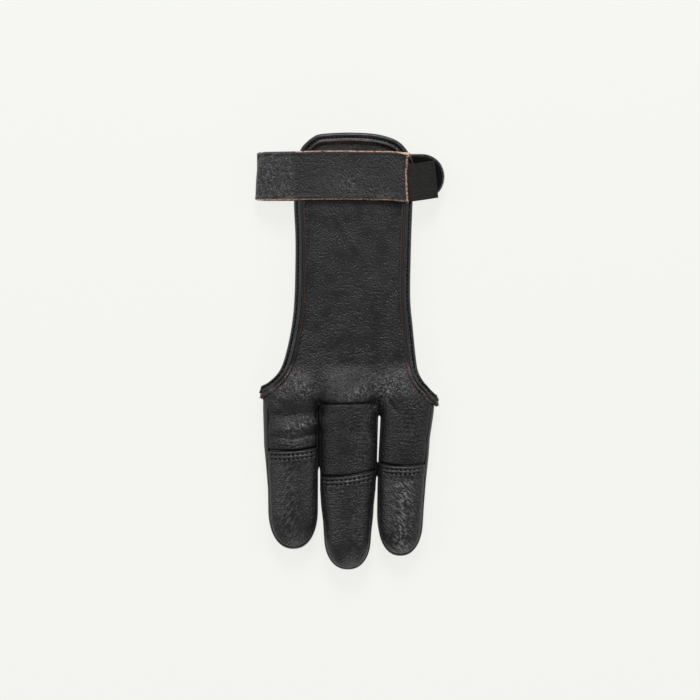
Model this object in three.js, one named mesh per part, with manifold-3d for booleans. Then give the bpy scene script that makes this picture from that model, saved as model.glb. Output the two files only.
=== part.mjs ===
// Three-finger archery glove, lying palm down. Millimetres, +Z up, fingertips towards -Y, wrist towards +Y.
// The back of the hand is a bound leather panel that runs on into the backs of the first and third fingers.
// The middle finger has a back of its own. A leather strap with hook-and-loop closes round the wrist.
import * as THREE from 'three';
import { mergeVertices } from 'three/addons/utils/BufferGeometryUtils.js';
import Module from 'manifold-3d';

const wasm = await Module();
wasm.setup();

// Leather, trim and clearance
const LEATHER = 1.2;            // wall of the panel and fingers
const BINDING = 0.9;            // wall of the folded edge binding
const STRAP_LEATHER = 1.3;      // wall of the wrist strap
const ELASTIC = 1.1;            // thickness of the elastic webbing
const HOOK_TAPE = 1.2;          // thickness of the hook tape
const GAP = 0.3;                // clearance between pieces that touch

// Panel
const PANEL_TOP_Y = 109.2;      // top edge, measured from the middle of the glove
const PANEL_WIDTH = 59;         // across the straight part
const PANEL_CENTRE_X = 1.4;     // the panel sits a little right of the glove's middle
const PANEL_Z = 10.4;           // height of its upper face at the wrist
const KNUCKLE_RISE = 1.2;       // the panel climbs this much before the knuckles
const KNUCKLE_BLEND = 27;       // length over which the flat panel swells into the finger backs
const FLARE_LEFT = 2;           // the panel's corners stand this far out over the fingers' sides
const FLARE_RIGHT = 1.6;

// Fingers: the middle one's sizes, which the others take as shares
const FINGER_LENGTH = 88.7;
const FINGER_WIDTH = 29.4;
const FINGER_HEIGHT = 15.6;
const FINGER_ROUND = 16;        // length of the rounded end
const COVER_LENGTH = 48.2;      // how far the tip cover reaches up from the tip
const SEAM_TILT = 1.6;          // rise of the seam from its middle to one side
const SEAM_BOW = 1.0;           // dip of the seam at its middle

// The middle finger is placed and the others lie beside it
const FINGER_BASE_Y = -20.4;    // mouth of the three fingers
const MIDDLE_CENTRE_X = -1.3;
const SLIT_LEFT = 0.5;          // space between neighbouring fingers at their base
const SLIT_RIGHT = 2;
const FINGER_MIDLINE = 5.8;     // height of a finger's widest line
const MOUTH_LIFT = BINDING + GAP;
const LIFT_LEVEL = 5;           // the sole stays raised this far in from the mouth
const LIFT_RUN = 6;             // and then comes down to the floor over this length

// A row for each finger, from the left, with its sizes as shares of the ones above. inset is the share by
// which the back stops short of the side. The stations hold, at shares of the length, the half width and
// the shift of the middle line as shares of the width.
const FINGER_ROWS = [
  {
    name: 'first', length: 0.884, width: 0.925, height: 0.936, round: 1.25, cover: 1.041, tilt: 0.47, bow: 1,
    inset: 0.16,
    stations: [
      { at: 0, half: 0.507, shift: 0 },
      { at: 0.11, half: 0.507, shift: 0 },
      { at: 0.34, half: 0.497, shift: 0.009 },
      { at: 0.47, half: 0.479, shift: 0.027 },
      { at: 0.62, half: 0.461, shift: 0.044 },
      { at: 1, half: 0.452, shift: 0.05 },
    ],
  },
  {
    name: 'middle', length: 1, width: 1, height: 1, round: 1, cover: 1, tilt: 1, bow: 1,
    inset: 0.12,
    stations: [
      { at: 0, half: 0.49, shift: 0 },
      { at: 0.12, half: 0.496, shift: 0.01 },
      { at: 0.42, half: 0.482, shift: 0.007 },
      { at: 0.55, half: 0.468, shift: -0.007 },
      { at: 0.64, half: 0.442, shift: -0.015 },
      { at: 0.73, half: 0.417, shift: -0.007 },
      { at: 0.84, half: 0.397, shift: -0.007 },
      { at: 1, half: 0.387, shift: 0 },
    ],
  },
  {
    name: 'third', length: 0.923, width: 0.918, height: 0.949, round: 1.125, cover: 0.96, tilt: 0, bow: 1.3,
    inset: 0.13,
    stations: [
      { at: 0, half: 0.5, shift: 0 },
      { at: 0.11, half: 0.489, shift: 0 },
      { at: 0.16, half: 0.4815, shift: -0.013 },
      { at: 0.28, half: 0.463, shift: -0.05 },
      { at: 0.38, half: 0.462, shift: -0.069 },
      { at: 0.55, half: 0.444, shift: -0.106 },
      { at: 0.7, half: 0.426, shift: -0.124 },
      { at: 0.8, half: 0.417, shift: -0.133 },
      { at: 1, half: 0.41, shift: -0.137 },
    ],
  },
];
const TOP_ROUNDNESS = 2.3;      // superellipse power of the domed back of a finger
const TIP_ROUNDNESS = 2.25;     // power of the fingertip's outline
const SOLE_POWER_BASE = 8;      // the palm side is almost square-cornered at the mouth
const SOLE_POWER_TIP = 3.6;     // and rounder at the tip
const SEAM_START = 6;           // the finger backs begin this far past the mouth
const NOTCH = 5.2;              // and the middle finger's own back this far
const COVER_EDGE = 0.955;       // share of the half width that a tip cover reaches to

// Binding, as seen on the face
const BINDING_WIDTH = 5.5;
const BINDING_RETURN = 4.4;     // width of the leg under the panel
const BINDING_RIDGE = 0.25;     // rise of the padded ridge beside the stitch groove

// Wrist strap and closure
const STRAP_WIDTH = 25.6;
const STRAP_Y = 87.4;           // its middle line
const STRAP_END_X = 29;         // raw end on the face
const FOLD_X = -46.8;           // outer side of the fold on the left
const TAB_TIP_X = 47.1;         // rounded tab under the elastic
const TAB_WIDTH = 22.8;
const TAB_LIFT = 6.8;           // how far the tab rises to meet the elastic
const ELASTIC_WIDTH = 18.6;
const ELASTIC_ROOT_X = 23.5;
const ELASTIC_TIP_X = 43.3;
const ELASTIC_TURN_DEG = 9;     // it leaves the strap at a slant
const ELASTIC_DROP = 2.2;       // its middle lies this far below the strap's middle line
const TAB_STRAIGHT = 2.2;       // straight part before the tab's round end
const HOOK_STRAIGHT = 0.3;
const HOOK_MARGIN = 1.2;        // leather that shows round the hook tape

const smooth = (t) => {
  const c = Math.min(1, Math.max(0, t));
  return c * c * (3 - 2 * c);
};

// count steps from one value to another, both ends included.
const spread = (from, to, count) => (
  Array.from({ length: count + 1 }, (_, i) => from + ((to - from) * i) / count)
);

// Reads a column of a station table at a share of the length.
function readStations(stations, share, column) {
  const next = Math.max(1, stations.findIndex((row) => row.at >= share));
  const [from, to] = [stations[next - 1], stations[next]];
  const t = THREE.MathUtils.clamp((share - from.at) / (to.at - from.at), 0, 1);
  return THREE.MathUtils.lerp(from[column], to[column], t);
}

const FINGERS = FINGER_ROWS.map((row) => ({
  ...row,
  length: row.length * FINGER_LENGTH,
  width: row.width * FINGER_WIDTH,
  height: row.height * FINGER_HEIGHT,
  round: row.round * FINGER_ROUND,
  cover: row.cover * COVER_LENGTH,
  tilt: row.tilt * SEAM_TILT,
  bow: row.bow * SEAM_BOW,
}));

// Places along a finger are measured from its mouth towards its tip.
const shareOf = (f, u) => THREE.MathUtils.clamp(u / f.length, 0, 1);
const halfWidth = (f, u) => f.width * readStations(f.stations, shareOf(f, u), 'half');
const [FIRST, MIDDLE, THIRD] = FINGERS;
MIDDLE.centre = MIDDLE_CENTRE_X;
FIRST.centre = MIDDLE.centre - halfWidth(MIDDLE, 0) - SLIT_LEFT - halfWidth(FIRST, 0);
THIRD.centre = MIDDLE.centre + halfWidth(MIDDLE, 0) + SLIT_RIGHT + halfWidth(THIRD, 0);
const centreX = (f, u) => f.centre + f.width * readStations(f.stations, shareOf(f, u), 'shift');
const sideX = (f, u, share) => centreX(f, u) + share * halfWidth(f, u);
const LEFT_CORNER_X = sideX(FIRST, 0, -1) - FLARE_LEFT;
const RIGHT_CORNER_X = sideX(THIRD, 0, 1) + FLARE_RIGHT;

// 0 on a finger's middle line and 1 on its outline: across on the straight part, rounded at the tip.
function roundness(f, x, y) {
  const u = FINGER_BASE_Y - y;
  const across = Math.abs(x - centreX(f, u)) / halfWidth(f, u);
  const along = Math.max(0, (u - (f.length - f.round)) / f.round);
  return (across ** TIP_ROUNDNESS + along ** TIP_ROUNDNESS) ** (1 / TIP_ROUNDNESS);
}

// Height share of the domed back, which goes on in a straight slope past SHEET_EDGE so that sheets can flare.
const SHEET_EDGE = 0.88;
const dome = (q) => Math.max(0, 1 - q ** TOP_ROUNDNESS) ** (1 / TOP_ROUNDNESS);
function domeSheet(q) {
  if (q <= SHEET_EDGE) return dome(q);
  const step = 0.001;
  const slope = (dome(SHEET_EDGE) - dome(SHEET_EDGE - step)) / step;
  return Math.max(0, dome(SHEET_EDGE) + slope * (q - SHEET_EDGE));
}

const fingerBack = (f, x, y) => FINGER_MIDLINE + (f.height - FINGER_MIDLINE) * domeSheet(roundness(f, x, y));

// Soft folds in the back: where the middle of each lies across the panel's width from its centre line and
// down from the top edge to the fingers' mouth, its direction in degrees, its length and breadth as shares
// of the width, and its rise as a share of the leather's wall.
const FOLDS = [
  { across: -0.5, down: 1.065, turn: 4, long: 0.17, broad: 0.045, rise: -0.5 },
  { across: -0.53, down: 1.118, turn: 8, long: 0.16, broad: 0.06, rise: 0.55 },
  { across: -0.43, down: 1.165, turn: -12, long: 0.1, broad: 0.045, rise: -0.55 },
  { across: 0.16, down: 1.15, turn: 66, long: 0.16, broad: 0.05, rise: -0.4 },
  { across: 0.05, down: 1.2, turn: 60, long: 0.14, broad: 0.07, rise: 0.35 },
  { across: 0.5, down: 1.1, turn: 78, long: 0.2, broad: 0.08, rise: 0.35 },
  { across: 0.42, down: 0.95, turn: 50, long: 0.22, broad: 0.08, rise: 0.5 },
  { across: -0.3, down: 0.93, turn: -62, long: 0.22, broad: 0.08, rise: 0.45 },
  { across: 0.02, down: 0.71, turn: 58, long: 0.24, broad: 0.09, rise: 0.25 },
];
function foldHeight(x, y) {
  const span = PANEL_TOP_Y - FINGER_BASE_Y;
  return FOLDS.reduce((sum, fold) => {
    const turn = THREE.MathUtils.degToRad(fold.turn);
    const dx = x - PANEL_CENTRE_X - fold.across * PANEL_WIDTH;
    const dy = y - PANEL_TOP_Y + fold.down * span;
    const along = (dx * Math.cos(turn) + dy * Math.sin(turn)) / (fold.long * PANEL_WIDTH);
    const aside = (dy * Math.cos(turn) - dx * Math.sin(turn)) / (fold.broad * PANEL_WIDTH);
    return sum + fold.rise * LEATHER * Math.exp(-along * along - aside * aside);
  }, 0);
}

const SWELL_END = 4;            // the backs have their full form this far past the mouth
const SWELL_FROM_Y = FINGER_BASE_Y - SWELL_END + KNUCKLE_BLEND;
const RISE_RUN = 40;
const RISE_FROM_Y = SWELL_FROM_Y + RISE_RUN / 2;
// Upper face of the whole back of the glove: a flat panel that swells into three finger backs.
function backHeight(x, y) {
  const swell = smooth((SWELL_FROM_Y - y) / KNUCKLE_BLEND);
  const flat = PANEL_Z + KNUCKLE_RISE * smooth((RISE_FROM_Y - y) / RISE_RUN);
  const domes = Math.max(...FINGERS.map((f) => fingerBack(f, x, y)));
  return THREE.MathUtils.lerp(flat, domes, swell) + foldHeight(x, y);
}

// Thickness measured upright, so that a sloping sheet keeps its wall.
const STEEPEST = 1.7;
function uprightFactor(x, y) {
  const step = 0.05;
  const dx = (backHeight(x + step, y) - backHeight(x - step, y)) / (2 * step);
  const dy = (backHeight(x, y + step) - backHeight(x, y - step)) / (2 * step);
  return Math.min(STEEPEST, Math.hypot(1, dx, dy));
}
const backMiddle = (x, y) => backHeight(x, y) - (LEATHER / 2) * uprightFactor(x, y);

// Closed geometry and joining
function toSolid(geometry) {
  const bare = geometry.index ? geometry.toNonIndexed() : geometry.clone();
  bare.deleteAttribute('normal');
  bare.deleteAttribute('uv');
  const merged = mergeVertices(bare, 1e-4);
  const kept = [];
  const index = merged.index.array;
  for (let i = 0; i < index.length; i += 3) {
    const [a, b, c] = [index[i], index[i + 1], index[i + 2]];
    if (a !== b && b !== c && c !== a) kept.push(a, b, c);
  }
  const mesh = new wasm.Mesh({
    numProp: 3,
    vertProperties: new Float32Array(merged.attributes.position.array),
    triVerts: new Uint32Array(kept),
  });
  const solid = new wasm.Manifold(mesh);
  if (solid.volume() < 0) throw new Error('a solid is inside out');
  return solid;
}

function toMesh(name, solid, material) {
  const { vertProperties, triVerts, numProp } = solid.simplify(0.01).getMesh();
  if (numProp !== 3) throw new Error(`${name} carries extra properties`);
  const geometry = new THREE.BufferGeometry();
  geometry.setAttribute('position', new THREE.BufferAttribute(new Float32Array(vertProperties), 3));
  geometry.setIndex(new THREE.BufferAttribute(new Uint32Array(triVerts), 1));
  geometry.computeVertexNormals();
  const mesh = new THREE.Mesh(geometry, material);
  mesh.name = name;
  return mesh;
}

// A closed tube of rings, each a list of points; a ring of one point closes an end to a pole.
function loft(rings) {
  const size = Math.max(...rings.map((r) => r.length));
  const at = (i, j) => rings[i][rings[i].length === 1 ? 0 : j % rings[i].length];
  const corners = [];
  for (let i = 0; i + 1 < rings.length; i += 1) {
    for (let j = 0; j < size; j += 1) {
      const [a, b, c, d] = [at(i, j), at(i, j + 1), at(i + 1, j + 1), at(i + 1, j)];
      corners.push(a, b, c, a, c, d);
    }
  }
  for (const [ring, flip] of [[rings[0], true], [rings[rings.length - 1], false]]) {
    if (ring.length > 1) corners.push(...capOf(ring, flip));
  }
  const geometry = new THREE.BufferGeometry();
  geometry.setFromPoints(corners);
  return geometry;
}

// Triangles that close a ring; flip turns them round for the first end.
function capOf(ring, flip) {
  const normal = new THREE.Vector3();
  for (let j = 0; j < ring.length; j += 1) {
    normal.add(new THREE.Vector3().crossVectors(ring[j], ring[(j + 1) % ring.length]));
  }
  normal.normalize();
  const side = Math.abs(normal.z) < 0.9 ? new THREE.Vector3(0, 0, 1) : new THREE.Vector3(1, 0, 0);
  const across = new THREE.Vector3().crossVectors(side, normal).normalize();
  const up = new THREE.Vector3().crossVectors(normal, across);
  const flat = ring.map((p) => new THREE.Vector2(p.dot(across), p.dot(up)));
  const faces = THREE.ShapeUtils.triangulateShape(flat, []);
  return faces.flatMap(([a, b, c]) => (flip ? [ring[a], ring[c], ring[b]] : [ring[a], ring[b], ring[c]]));
}

// An upright prism over an outline in plan. Without heights it passes right through the glove.
const BELOW_ALL = -5;
const ABOVE_ALL = 40;
function prism(points, low = BELOW_ALL, high = ABOVE_ALL) {
  const shape = new THREE.Shape(points.map(([x, y]) => new THREE.Vector2(x, y)));
  const geometry = new THREE.ExtrudeGeometry(shape, { depth: high - low, bevelEnabled: false });
  return toSolid(geometry.translate(0, 0, low));
}

function block(low, high) {
  const size = high.map((v, i) => v - low[i]);
  const geometry = new THREE.BoxGeometry(...size);
  return toSolid(geometry.translate(...low.map((v, i) => v + size[i] / 2)));
}

// A sheet that follows backHeight on a grid of columns and rows, from above it to below it.
function backSheet(columns, rows, above = 0, below = LEATHER) {
  const at = (x, y, rise) => new THREE.Vector3(x, y, backHeight(x, y) + rise * uprightFactor(x, y));
  const upper = rows.map((y) => columns.map((x) => at(x, y, above)));
  const lower = rows.map((y) => columns.map((x) => at(x, y, -below)));
  const rings = upper.map((row, i) => [...row, ...[...lower[i]].reverse()]);
  return toSolid(loft(rings));
}

// A finger: a closed form with a flat sole and a domed back, or its hollow when inset by the wall.
const RING_POINTS = 24;
const STRAIGHT_RINGS = 6;
const TIP_RINGS = 6;
function fingerForm(f, inset) {
  const straight = f.length - f.round;
  const round = f.round - inset;
  const start = inset > 0 ? -2 * inset : 0;
  const down = LIFT_LEVEL + LIFT_RUN;
  const places = [start, ...spread(LIFT_LEVEL, down, 2), ...spread(down, straight, STRAIGHT_RINGS).slice(1)]
    .map((u) => [u, 0]);
  for (const angle of spread(0, Math.PI / 2, TIP_RINGS).slice(1)) {
    places.push([straight + round * Math.sin(angle), Math.sin(angle)]);
  }
  const rings = places.map(([u, along]) => {
    const wide = halfWidth(f, u) - inset;
    const reach = Math.max(0, 1 - along ** TIP_ROUNDNESS) ** (1 / TIP_ROUNDNESS);
    const sole = THREE.MathUtils.lerp(SOLE_POWER_BASE, SOLE_POWER_TIP, smooth(u / f.length));
    const lift = MOUTH_LIFT * (1 - smooth((u - LIFT_LEVEL) / LIFT_RUN));
    const y = FINGER_BASE_Y - u;
    const x = centreX(f, u);
    if (reach < 1e-3) return [new THREE.Vector3(x, y, FINGER_MIDLINE)];
    return Array.from({ length: RING_POINTS }, (_, j) => {
      const turn = (j / RING_POINTS) * 2 * Math.PI;
      const v = reach * Math.cos(turn);
      const q = Math.min(1, (Math.abs(v) ** TIP_ROUNDNESS + along ** TIP_ROUNDNESS) ** (1 / TIP_ROUNDNESS));
      const up = (f.height - FINGER_MIDLINE - inset) * dome(q);
      const under = (FINGER_MIDLINE - inset - lift) * Math.max(0, 1 - q ** sole) ** (1 / sole);
      return new THREE.Vector3(x + wide * v, y, FINGER_MIDLINE + (Math.sin(turn) >= 0 ? up : -under));
    });
  });
  return toSolid(loft(rings));
}

// The seam at the head of a tip cover, from left to right across reach half widths, moved towards the
// tip by shift.
function tipSeam(f, reach, shift) {
  const u = f.length - f.cover;
  const y = FINGER_BASE_Y - u - shift;
  return spread(-1, 1, 6).map((v) => [sideX(f, u, v * reach), y + f.tilt * v + f.bow * (v * v - 0.5)]);
}

// Everything on the tip's side of the seam and above a height.
function coverRoom(f, shift, low) {
  const seam = tipSeam(f, 1.2, shift);
  const end = FINGER_BASE_Y - f.length - 1;
  return prism([[seam[0][0], end], [seam[seam.length - 1][0], end], ...seam.reverse()], low);
}

// A tip cover ends on a level line low on the finger's side, where the back has the roundness COVER_EDGE.
const coverHeight = (f) => FINGER_MIDLINE + (f.height - FINGER_MIDLINE) * dome(COVER_EDGE);

// One side of a finger's back between two places along it; share is -1 at the left side and 1 at the right.
const backSide = (f, from, to, share) => (
  spread(from, to, 5).map((u) => [sideX(f, u, share), FINGER_BASE_Y - u])
);
const backReach = (f) => 1 - f.inset;
const seamPlace = (f) => f.length - f.cover - Math.abs(f.tilt) - f.bow;

// Panel outline. down is the share of the way from the top edge to the fingers' mouth, left and right the
// half widths as shares of PANEL_WIDTH, and flares how far each side has gone from the panel's straight
// edge to the corner that stands out over the finger.
const PANEL_ROWS = [
  { down: 0, left: 0.12, right: 0.05, flareLeft: 0, flareRight: 0 },
  { down: 0.006, left: 0.285, right: 0.2, flareLeft: 0, flareRight: 0 },
  { down: 0.02, left: 0.352, right: 0.318, flareLeft: 0, flareRight: 0 },
  { down: 0.036, left: 0.395, right: 0.388, flareLeft: 0, flareRight: 0 },
  { down: 0.056, left: 0.435, right: 0.435, flareLeft: 0, flareRight: 0 },
  { down: 0.09, left: 0.47, right: 0.472, flareLeft: 0, flareRight: 0 },
  { down: 0.27, left: 0.502, right: 0.502, flareLeft: 0, flareRight: 0 },
  { down: 0.42, left: 0.49, right: 0.49, flareLeft: 0, flareRight: 0 },
  { down: 0.63, left: 0.498, right: 0.482, flareLeft: 0, flareRight: 0 },
  { down: 0.75, left: 0.5, right: 0.49, flareLeft: 0.08, flareRight: 0.06 },
  { down: 0.86, left: 0.5, right: 0.49, flareLeft: 0.255, flareRight: 0.165 },
  { down: 0.92, left: 0.5, right: 0.49, flareLeft: 0.43, flareRight: 0.26 },
  { down: 0.958, left: 0.5, right: 0.49, flareLeft: 0.69, flareRight: 0.45 },
  { down: 0.992, left: 0.5, right: 0.49, flareLeft: 1, flareRight: 0.73 },
  { down: 1.015, left: 0.5, right: 0.49, flareLeft: 0.985, flareRight: 0.97 },
];
const EDGE_STEPS = 84;
function panelEdge() {
  const place = (down, straight, corner, flare) => new THREE.Vector2(
    THREE.MathUtils.lerp(straight, corner, flare),
    THREE.MathUtils.lerp(PANEL_TOP_Y, FINGER_BASE_Y, down),
  );
  const left = PANEL_ROWS.map((row) => (
    place(row.down, PANEL_CENTRE_X - PANEL_WIDTH * row.left, LEFT_CORNER_X, row.flareLeft)
  ));
  const right = PANEL_ROWS.map((row) => (
    place(row.down, PANEL_CENTRE_X + PANEL_WIDTH * row.right, RIGHT_CORNER_X, row.flareRight)
  ));
  return new THREE.SplineCurve([...left.reverse(), ...right]);
}

// Points of the panel's edge, closer together where it turns, with the inward direction of each.
function edgeFrames() {
  const curve = panelEdge();
  return Array.from({ length: EDGE_STEPS + 1 }, (_, i) => {
    const t = i / EDGE_STEPS;
    const point = curve.getPoint(t);
    const tangent = curve.getTangent(t);
    return { point, inward: new THREE.Vector2(tangent.y, -tangent.x) };
  });
}

// Back panel with the backs of the first and third fingers, and a notch for the middle finger's own back
const NOTCH_BOW = 0.4;
const SHEET_SPARE = 3;          // length of sheet past a seam, which the outline cuts off
function notchLine(shift) {
  const y = FINGER_BASE_Y - NOTCH - shift;
  return spread(-1, 1, 4).map((v) => [sideX(MIDDLE, NOTCH, v), y + NOTCH_BOW * v]);
}

function backPanel() {
  const edge = edgeFrames().map(({ point, inward }) => (
    point.clone().addScaledVector(inward, BINDING + GAP).toArray()
  ));
  const leg = (f) => [
    ...backSide(f, SEAM_START, seamPlace(f), -backReach(f)),
    ...tipSeam(f, backReach(f), -GAP / 2),
    ...backSide(f, SEAM_START, seamPlace(f), backReach(f)).reverse(),
  ];
  const outline = [...edge, ...[...leg(FIRST), ...notchLine(0), ...leg(THIRD)].reverse()];
  const columns = [
    ...spread(LEFT_CORNER_X - 1, sideX(FIRST, 0, 0.96), 11),
    ...spread(sideX(MIDDLE, 0, -0.98), sideX(MIDDLE, 0, 0.98), 10),
    ...spread(sideX(THIRD, 0, -0.98), RIGHT_CORNER_X + 1, 14),
  ];
  const lastY = FINGER_BASE_Y - Math.max(...[FIRST, THIRD].map((f) => f.length - f.cover)) - SHEET_SPARE;
  const rows = [
    ...spread(PANEL_TOP_Y + 1, RISE_FROM_Y, 2),
    ...spread(RISE_FROM_Y - RISE_RUN / 8, SWELL_FROM_Y, 3),
    ...spread(SWELL_FROM_Y - 2, FINGER_BASE_Y - SEAM_START, 14),
    ...spread(FINGER_BASE_Y - SEAM_START, lastY, 12).slice(1),
  ];
  return backSheet(columns, rows.reverse()).intersect(prism(outline));
}

function middleBack() {
  const head = notchLine(GAP).slice(1, -1);
  const start = NOTCH + GAP + 0.5;
  const outline = [
    ...head,
    ...backSide(MIDDLE, start, seamPlace(MIDDLE), backReach(MIDDLE)),
    ...tipSeam(MIDDLE, backReach(MIDDLE), -GAP / 2).reverse(),
    ...backSide(MIDDLE, start, seamPlace(MIDDLE), -backReach(MIDDLE)).reverse(),
  ];
  const columns = spread(sideX(MIDDLE, 0, -1), sideX(MIDDLE, 0, 1), 14);
  const lastY = FINGER_BASE_Y - (MIDDLE.length - MIDDLE.cover) - SHEET_SPARE;
  return backSheet(columns, spread(lastY, FINGER_BASE_Y, 16)).intersect(prism(outline.reverse()));
}

const tipCover = (f, shell) => shell.intersect(coverRoom(f, GAP / 2, coverHeight(f) + GAP / 2));

// The palm side of a finger: its shell without the pieces of the back. The walls between fingers stop
// short of the mouth, so that its binding runs straight across.
function fingerFront(f, shell) {
  const reach = backReach(f) + GAP / f.width;
  const seamEnd = f.length - f.cover + 1;
  const side = (s) => backSide(f, -SEAM_START, seamEnd, s * reach);
  const aboveSole = MOUTH_LIFT + LEATHER + 0.1;
  const past = FINGER_BASE_Y + SEAM_START;
  const wallEnd = FINGER_BASE_Y - BINDING_RETURN - GAP;
  const room = [
    f === FIRST ? f.centre : f.centre - f.width,
    f === THIRD ? f.centre : f.centre + f.width,
  ];
  const columns = spread(f.centre - f.width, f.centre + f.width, 18);
  const rows = spread(FINGER_BASE_Y - SEAM_START - GAP, past, 4);
  const cuts = [
    coverRoom(f, -GAP / 2, coverHeight(f) - GAP / 2),
    prism([...side(-1), ...side(1).reverse()], FINGER_MIDLINE),
    block([room[0], wallEnd, aboveSole], [room[1], past, ABOVE_ALL]),
    backSheet(columns, rows, ABOVE_ALL / 4, LEATHER + BINDING + 2 * GAP),
  ];
  return cuts.reduce((left, cut) => left.subtract(cut), shell);
}

// The folded binding: a channel carried along the panel's edge. across is measured inwards from the
// outer side, up from the middle of the leather.
const LEG_INNER = LEATHER / 2 + GAP;
const LEG_OUTER = LEG_INNER + BINDING;
const channel = (width, ridge) => [
  [0.01 * width, LEATHER / 2],
  [0.09 * width, LEG_OUTER - 0.05],
  [0.38 * width, LEG_OUTER - ridge],
  [0.55 * width, LEG_OUTER + ridge],
  [0.84 * width, LEG_OUTER + ridge],
  [width, LEG_OUTER - ridge],
  [width, LEG_INNER],
  [BINDING, LEG_INNER],
  [BINDING, -LEG_INNER],
  [BINDING_RETURN, -LEG_INNER],
  [BINDING_RETURN, -LEG_OUTER],
  [0.09 * width, -LEG_OUTER],
  [0.01 * width, -LEATHER / 2],
];

function edgeBinding() {
  const rings = edgeFrames().slice(1, -1).map(({ point, inward }) => (
    channel(BINDING_WIDTH, BINDING_RIDGE).map(([across, up]) => {
      const [x, y] = [point.x + inward.x * across, point.y + inward.y * across];
      return new THREE.Vector3(x, y, backMiddle(x, y) + up * uprightFactor(x, y));
    })
  ));
  return toSolid(loft(rings));
}

// The same channel, flat and without a ridge, across the palm side of the fingers' mouth.
function mouthBinding() {
  const middle = MOUTH_LIFT + LEATHER / 2;
  const edgeY = FINGER_BASE_Y + BINDING + GAP;
  const rings = [sideX(FIRST, 0, -0.8), sideX(THIRD, 0, 0.8)].map((x) => (
    channel(BINDING_RETURN, 0).map(([across, up]) => new THREE.Vector3(x, edgeY - across, middle + up))
  ));
  return toSolid(loft(rings));
}

// A flat band whose middle line is a path of [x, z] points, width across Y.
function band(path, thickness, width, y) {
  const side = (s) => path.map(([x, z], i) => {
    const [ax, az] = path[Math.max(0, i - 1)];
    const [bx, bz] = path[Math.min(path.length - 1, i + 1)];
    const reach = (s * thickness) / (2 * Math.hypot(bx - ax, bz - az));
    return new THREE.Vector2(x - (bz - az) * reach, z + (bx - ax) * reach);
  });
  const shape = new THREE.Shape([...side(1), ...side(-1).reverse()]);
  const geometry = new THREE.ExtrudeGeometry(shape, { depth: width, bevelEnabled: false });
  return toSolid(geometry.rotateX(Math.PI / 2).translate(0, y + width / 2, 0));
}

// Places and heights of the stacked layers at the wrist, from the binding's ridge upwards
const RIDGE_TOP = PANEL_Z - LEATHER / 2 + LEG_OUTER + BINDING_RIDGE;
const STRAP_Z = RIDGE_TOP + GAP + STRAP_LEATHER / 2;
const ELASTIC_Z = RIDGE_TOP + GAP + ELASTIC / 2;
const STRAP_OVER_Z = RIDGE_TOP + GAP + ELASTIC + GAP + STRAP_LEATHER / 2;
const SOLE_Z = STRAP_LEATHER / 2;
const TAB_Z = SOLE_Z + TAB_LIFT;
const HOOK_Z = TAB_Z + STRAP_LEATHER / 2 + GAP + HOOK_TAPE / 2;
const CLOSED_Z = HOOK_Z + HOOK_TAPE / 2 + GAP + ELASTIC / 2;
const HOOK_START_X = TAB_TIP_X - TAB_WIDTH / 2 - HOOK_STRAIGHT;
const CLOSURE_X = HOOK_START_X - 0.8;   // the tab and elastic are level from here on
const PANEL_SIDE_X = PANEL_CENTRE_X + PANEL_WIDTH / 2;
const TAB_RISE_RUN = 29;
const STEP_DOWN = 4.5;          // the strap comes down from the elastic's root over this length

// The strap's middle line: raw end, face, fold and return along the floor up to the tab.
function strapPath() {
  const radius = (STRAP_Z - SOLE_Z) / 2;
  const foldX = FOLD_X + STRAP_LEATHER / 2 + radius;
  const face = [
    [STRAP_END_X, STRAP_OVER_Z],
    [ELASTIC_ROOT_X - 0.5, STRAP_OVER_Z],
    [ELASTIC_ROOT_X - 0.5 - STEP_DOWN, STRAP_Z],
  ];
  const fold = spread(Math.PI / 2, (3 * Math.PI) / 2, 12).map((a) => [
    foldX + radius * Math.cos(a),
    SOLE_Z + radius + radius * Math.sin(a),
  ]);
  const riseFrom = CLOSURE_X - TAB_RISE_RUN;
  const rise = spread(0, 1, 8).map((t) => [
    THREE.MathUtils.lerp(riseFrom, CLOSURE_X, t),
    SOLE_Z + TAB_LIFT * smooth(t),
  ]);
  return [...face, ...fold, ...rise, [TAB_TIP_X, TAB_Z]];
}

// Plan outline of a strip with a round end at tipX and a straight part before it.
function roundEnd(straight, tipX, width, y) {
  const radius = width / 2;
  const fromX = tipX - radius - straight;
  const arc = spread(-Math.PI / 2, Math.PI / 2, 14).map((a) => [
    tipX - radius + radius * Math.cos(a),
    y + radius * Math.sin(a),
  ]);
  return [[fromX, y - radius], ...arc, [fromX, y + radius]];
}

function wristStrap() {
  const shoulder = STRAP_END_X + 0.5;
  const half = STRAP_WIDTH / 2 + 1;
  const tab = roundEnd(TAB_STRAIGHT, TAB_TIP_X, TAB_WIDTH, STRAP_Y);
  const outline = [
    [FOLD_X - 1, STRAP_Y - half],
    [shoulder, STRAP_Y - half],
    ...tab,
    [shoulder, STRAP_Y + half],
    [FOLD_X - 1, STRAP_Y + half],
  ];
  return band(strapPath(), STRAP_LEATHER, STRAP_WIDTH, STRAP_Y).intersect(prism(outline));
}

function hookPatch() {
  const outline = roundEnd(HOOK_STRAIGHT, TAB_TIP_X - HOOK_MARGIN, TAB_WIDTH - 2 * HOOK_MARGIN, STRAP_Y);
  return prism(outline, HOOK_Z - HOOK_TAPE / 2, HOOK_Z + HOOK_TAPE / 2);
}

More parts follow.
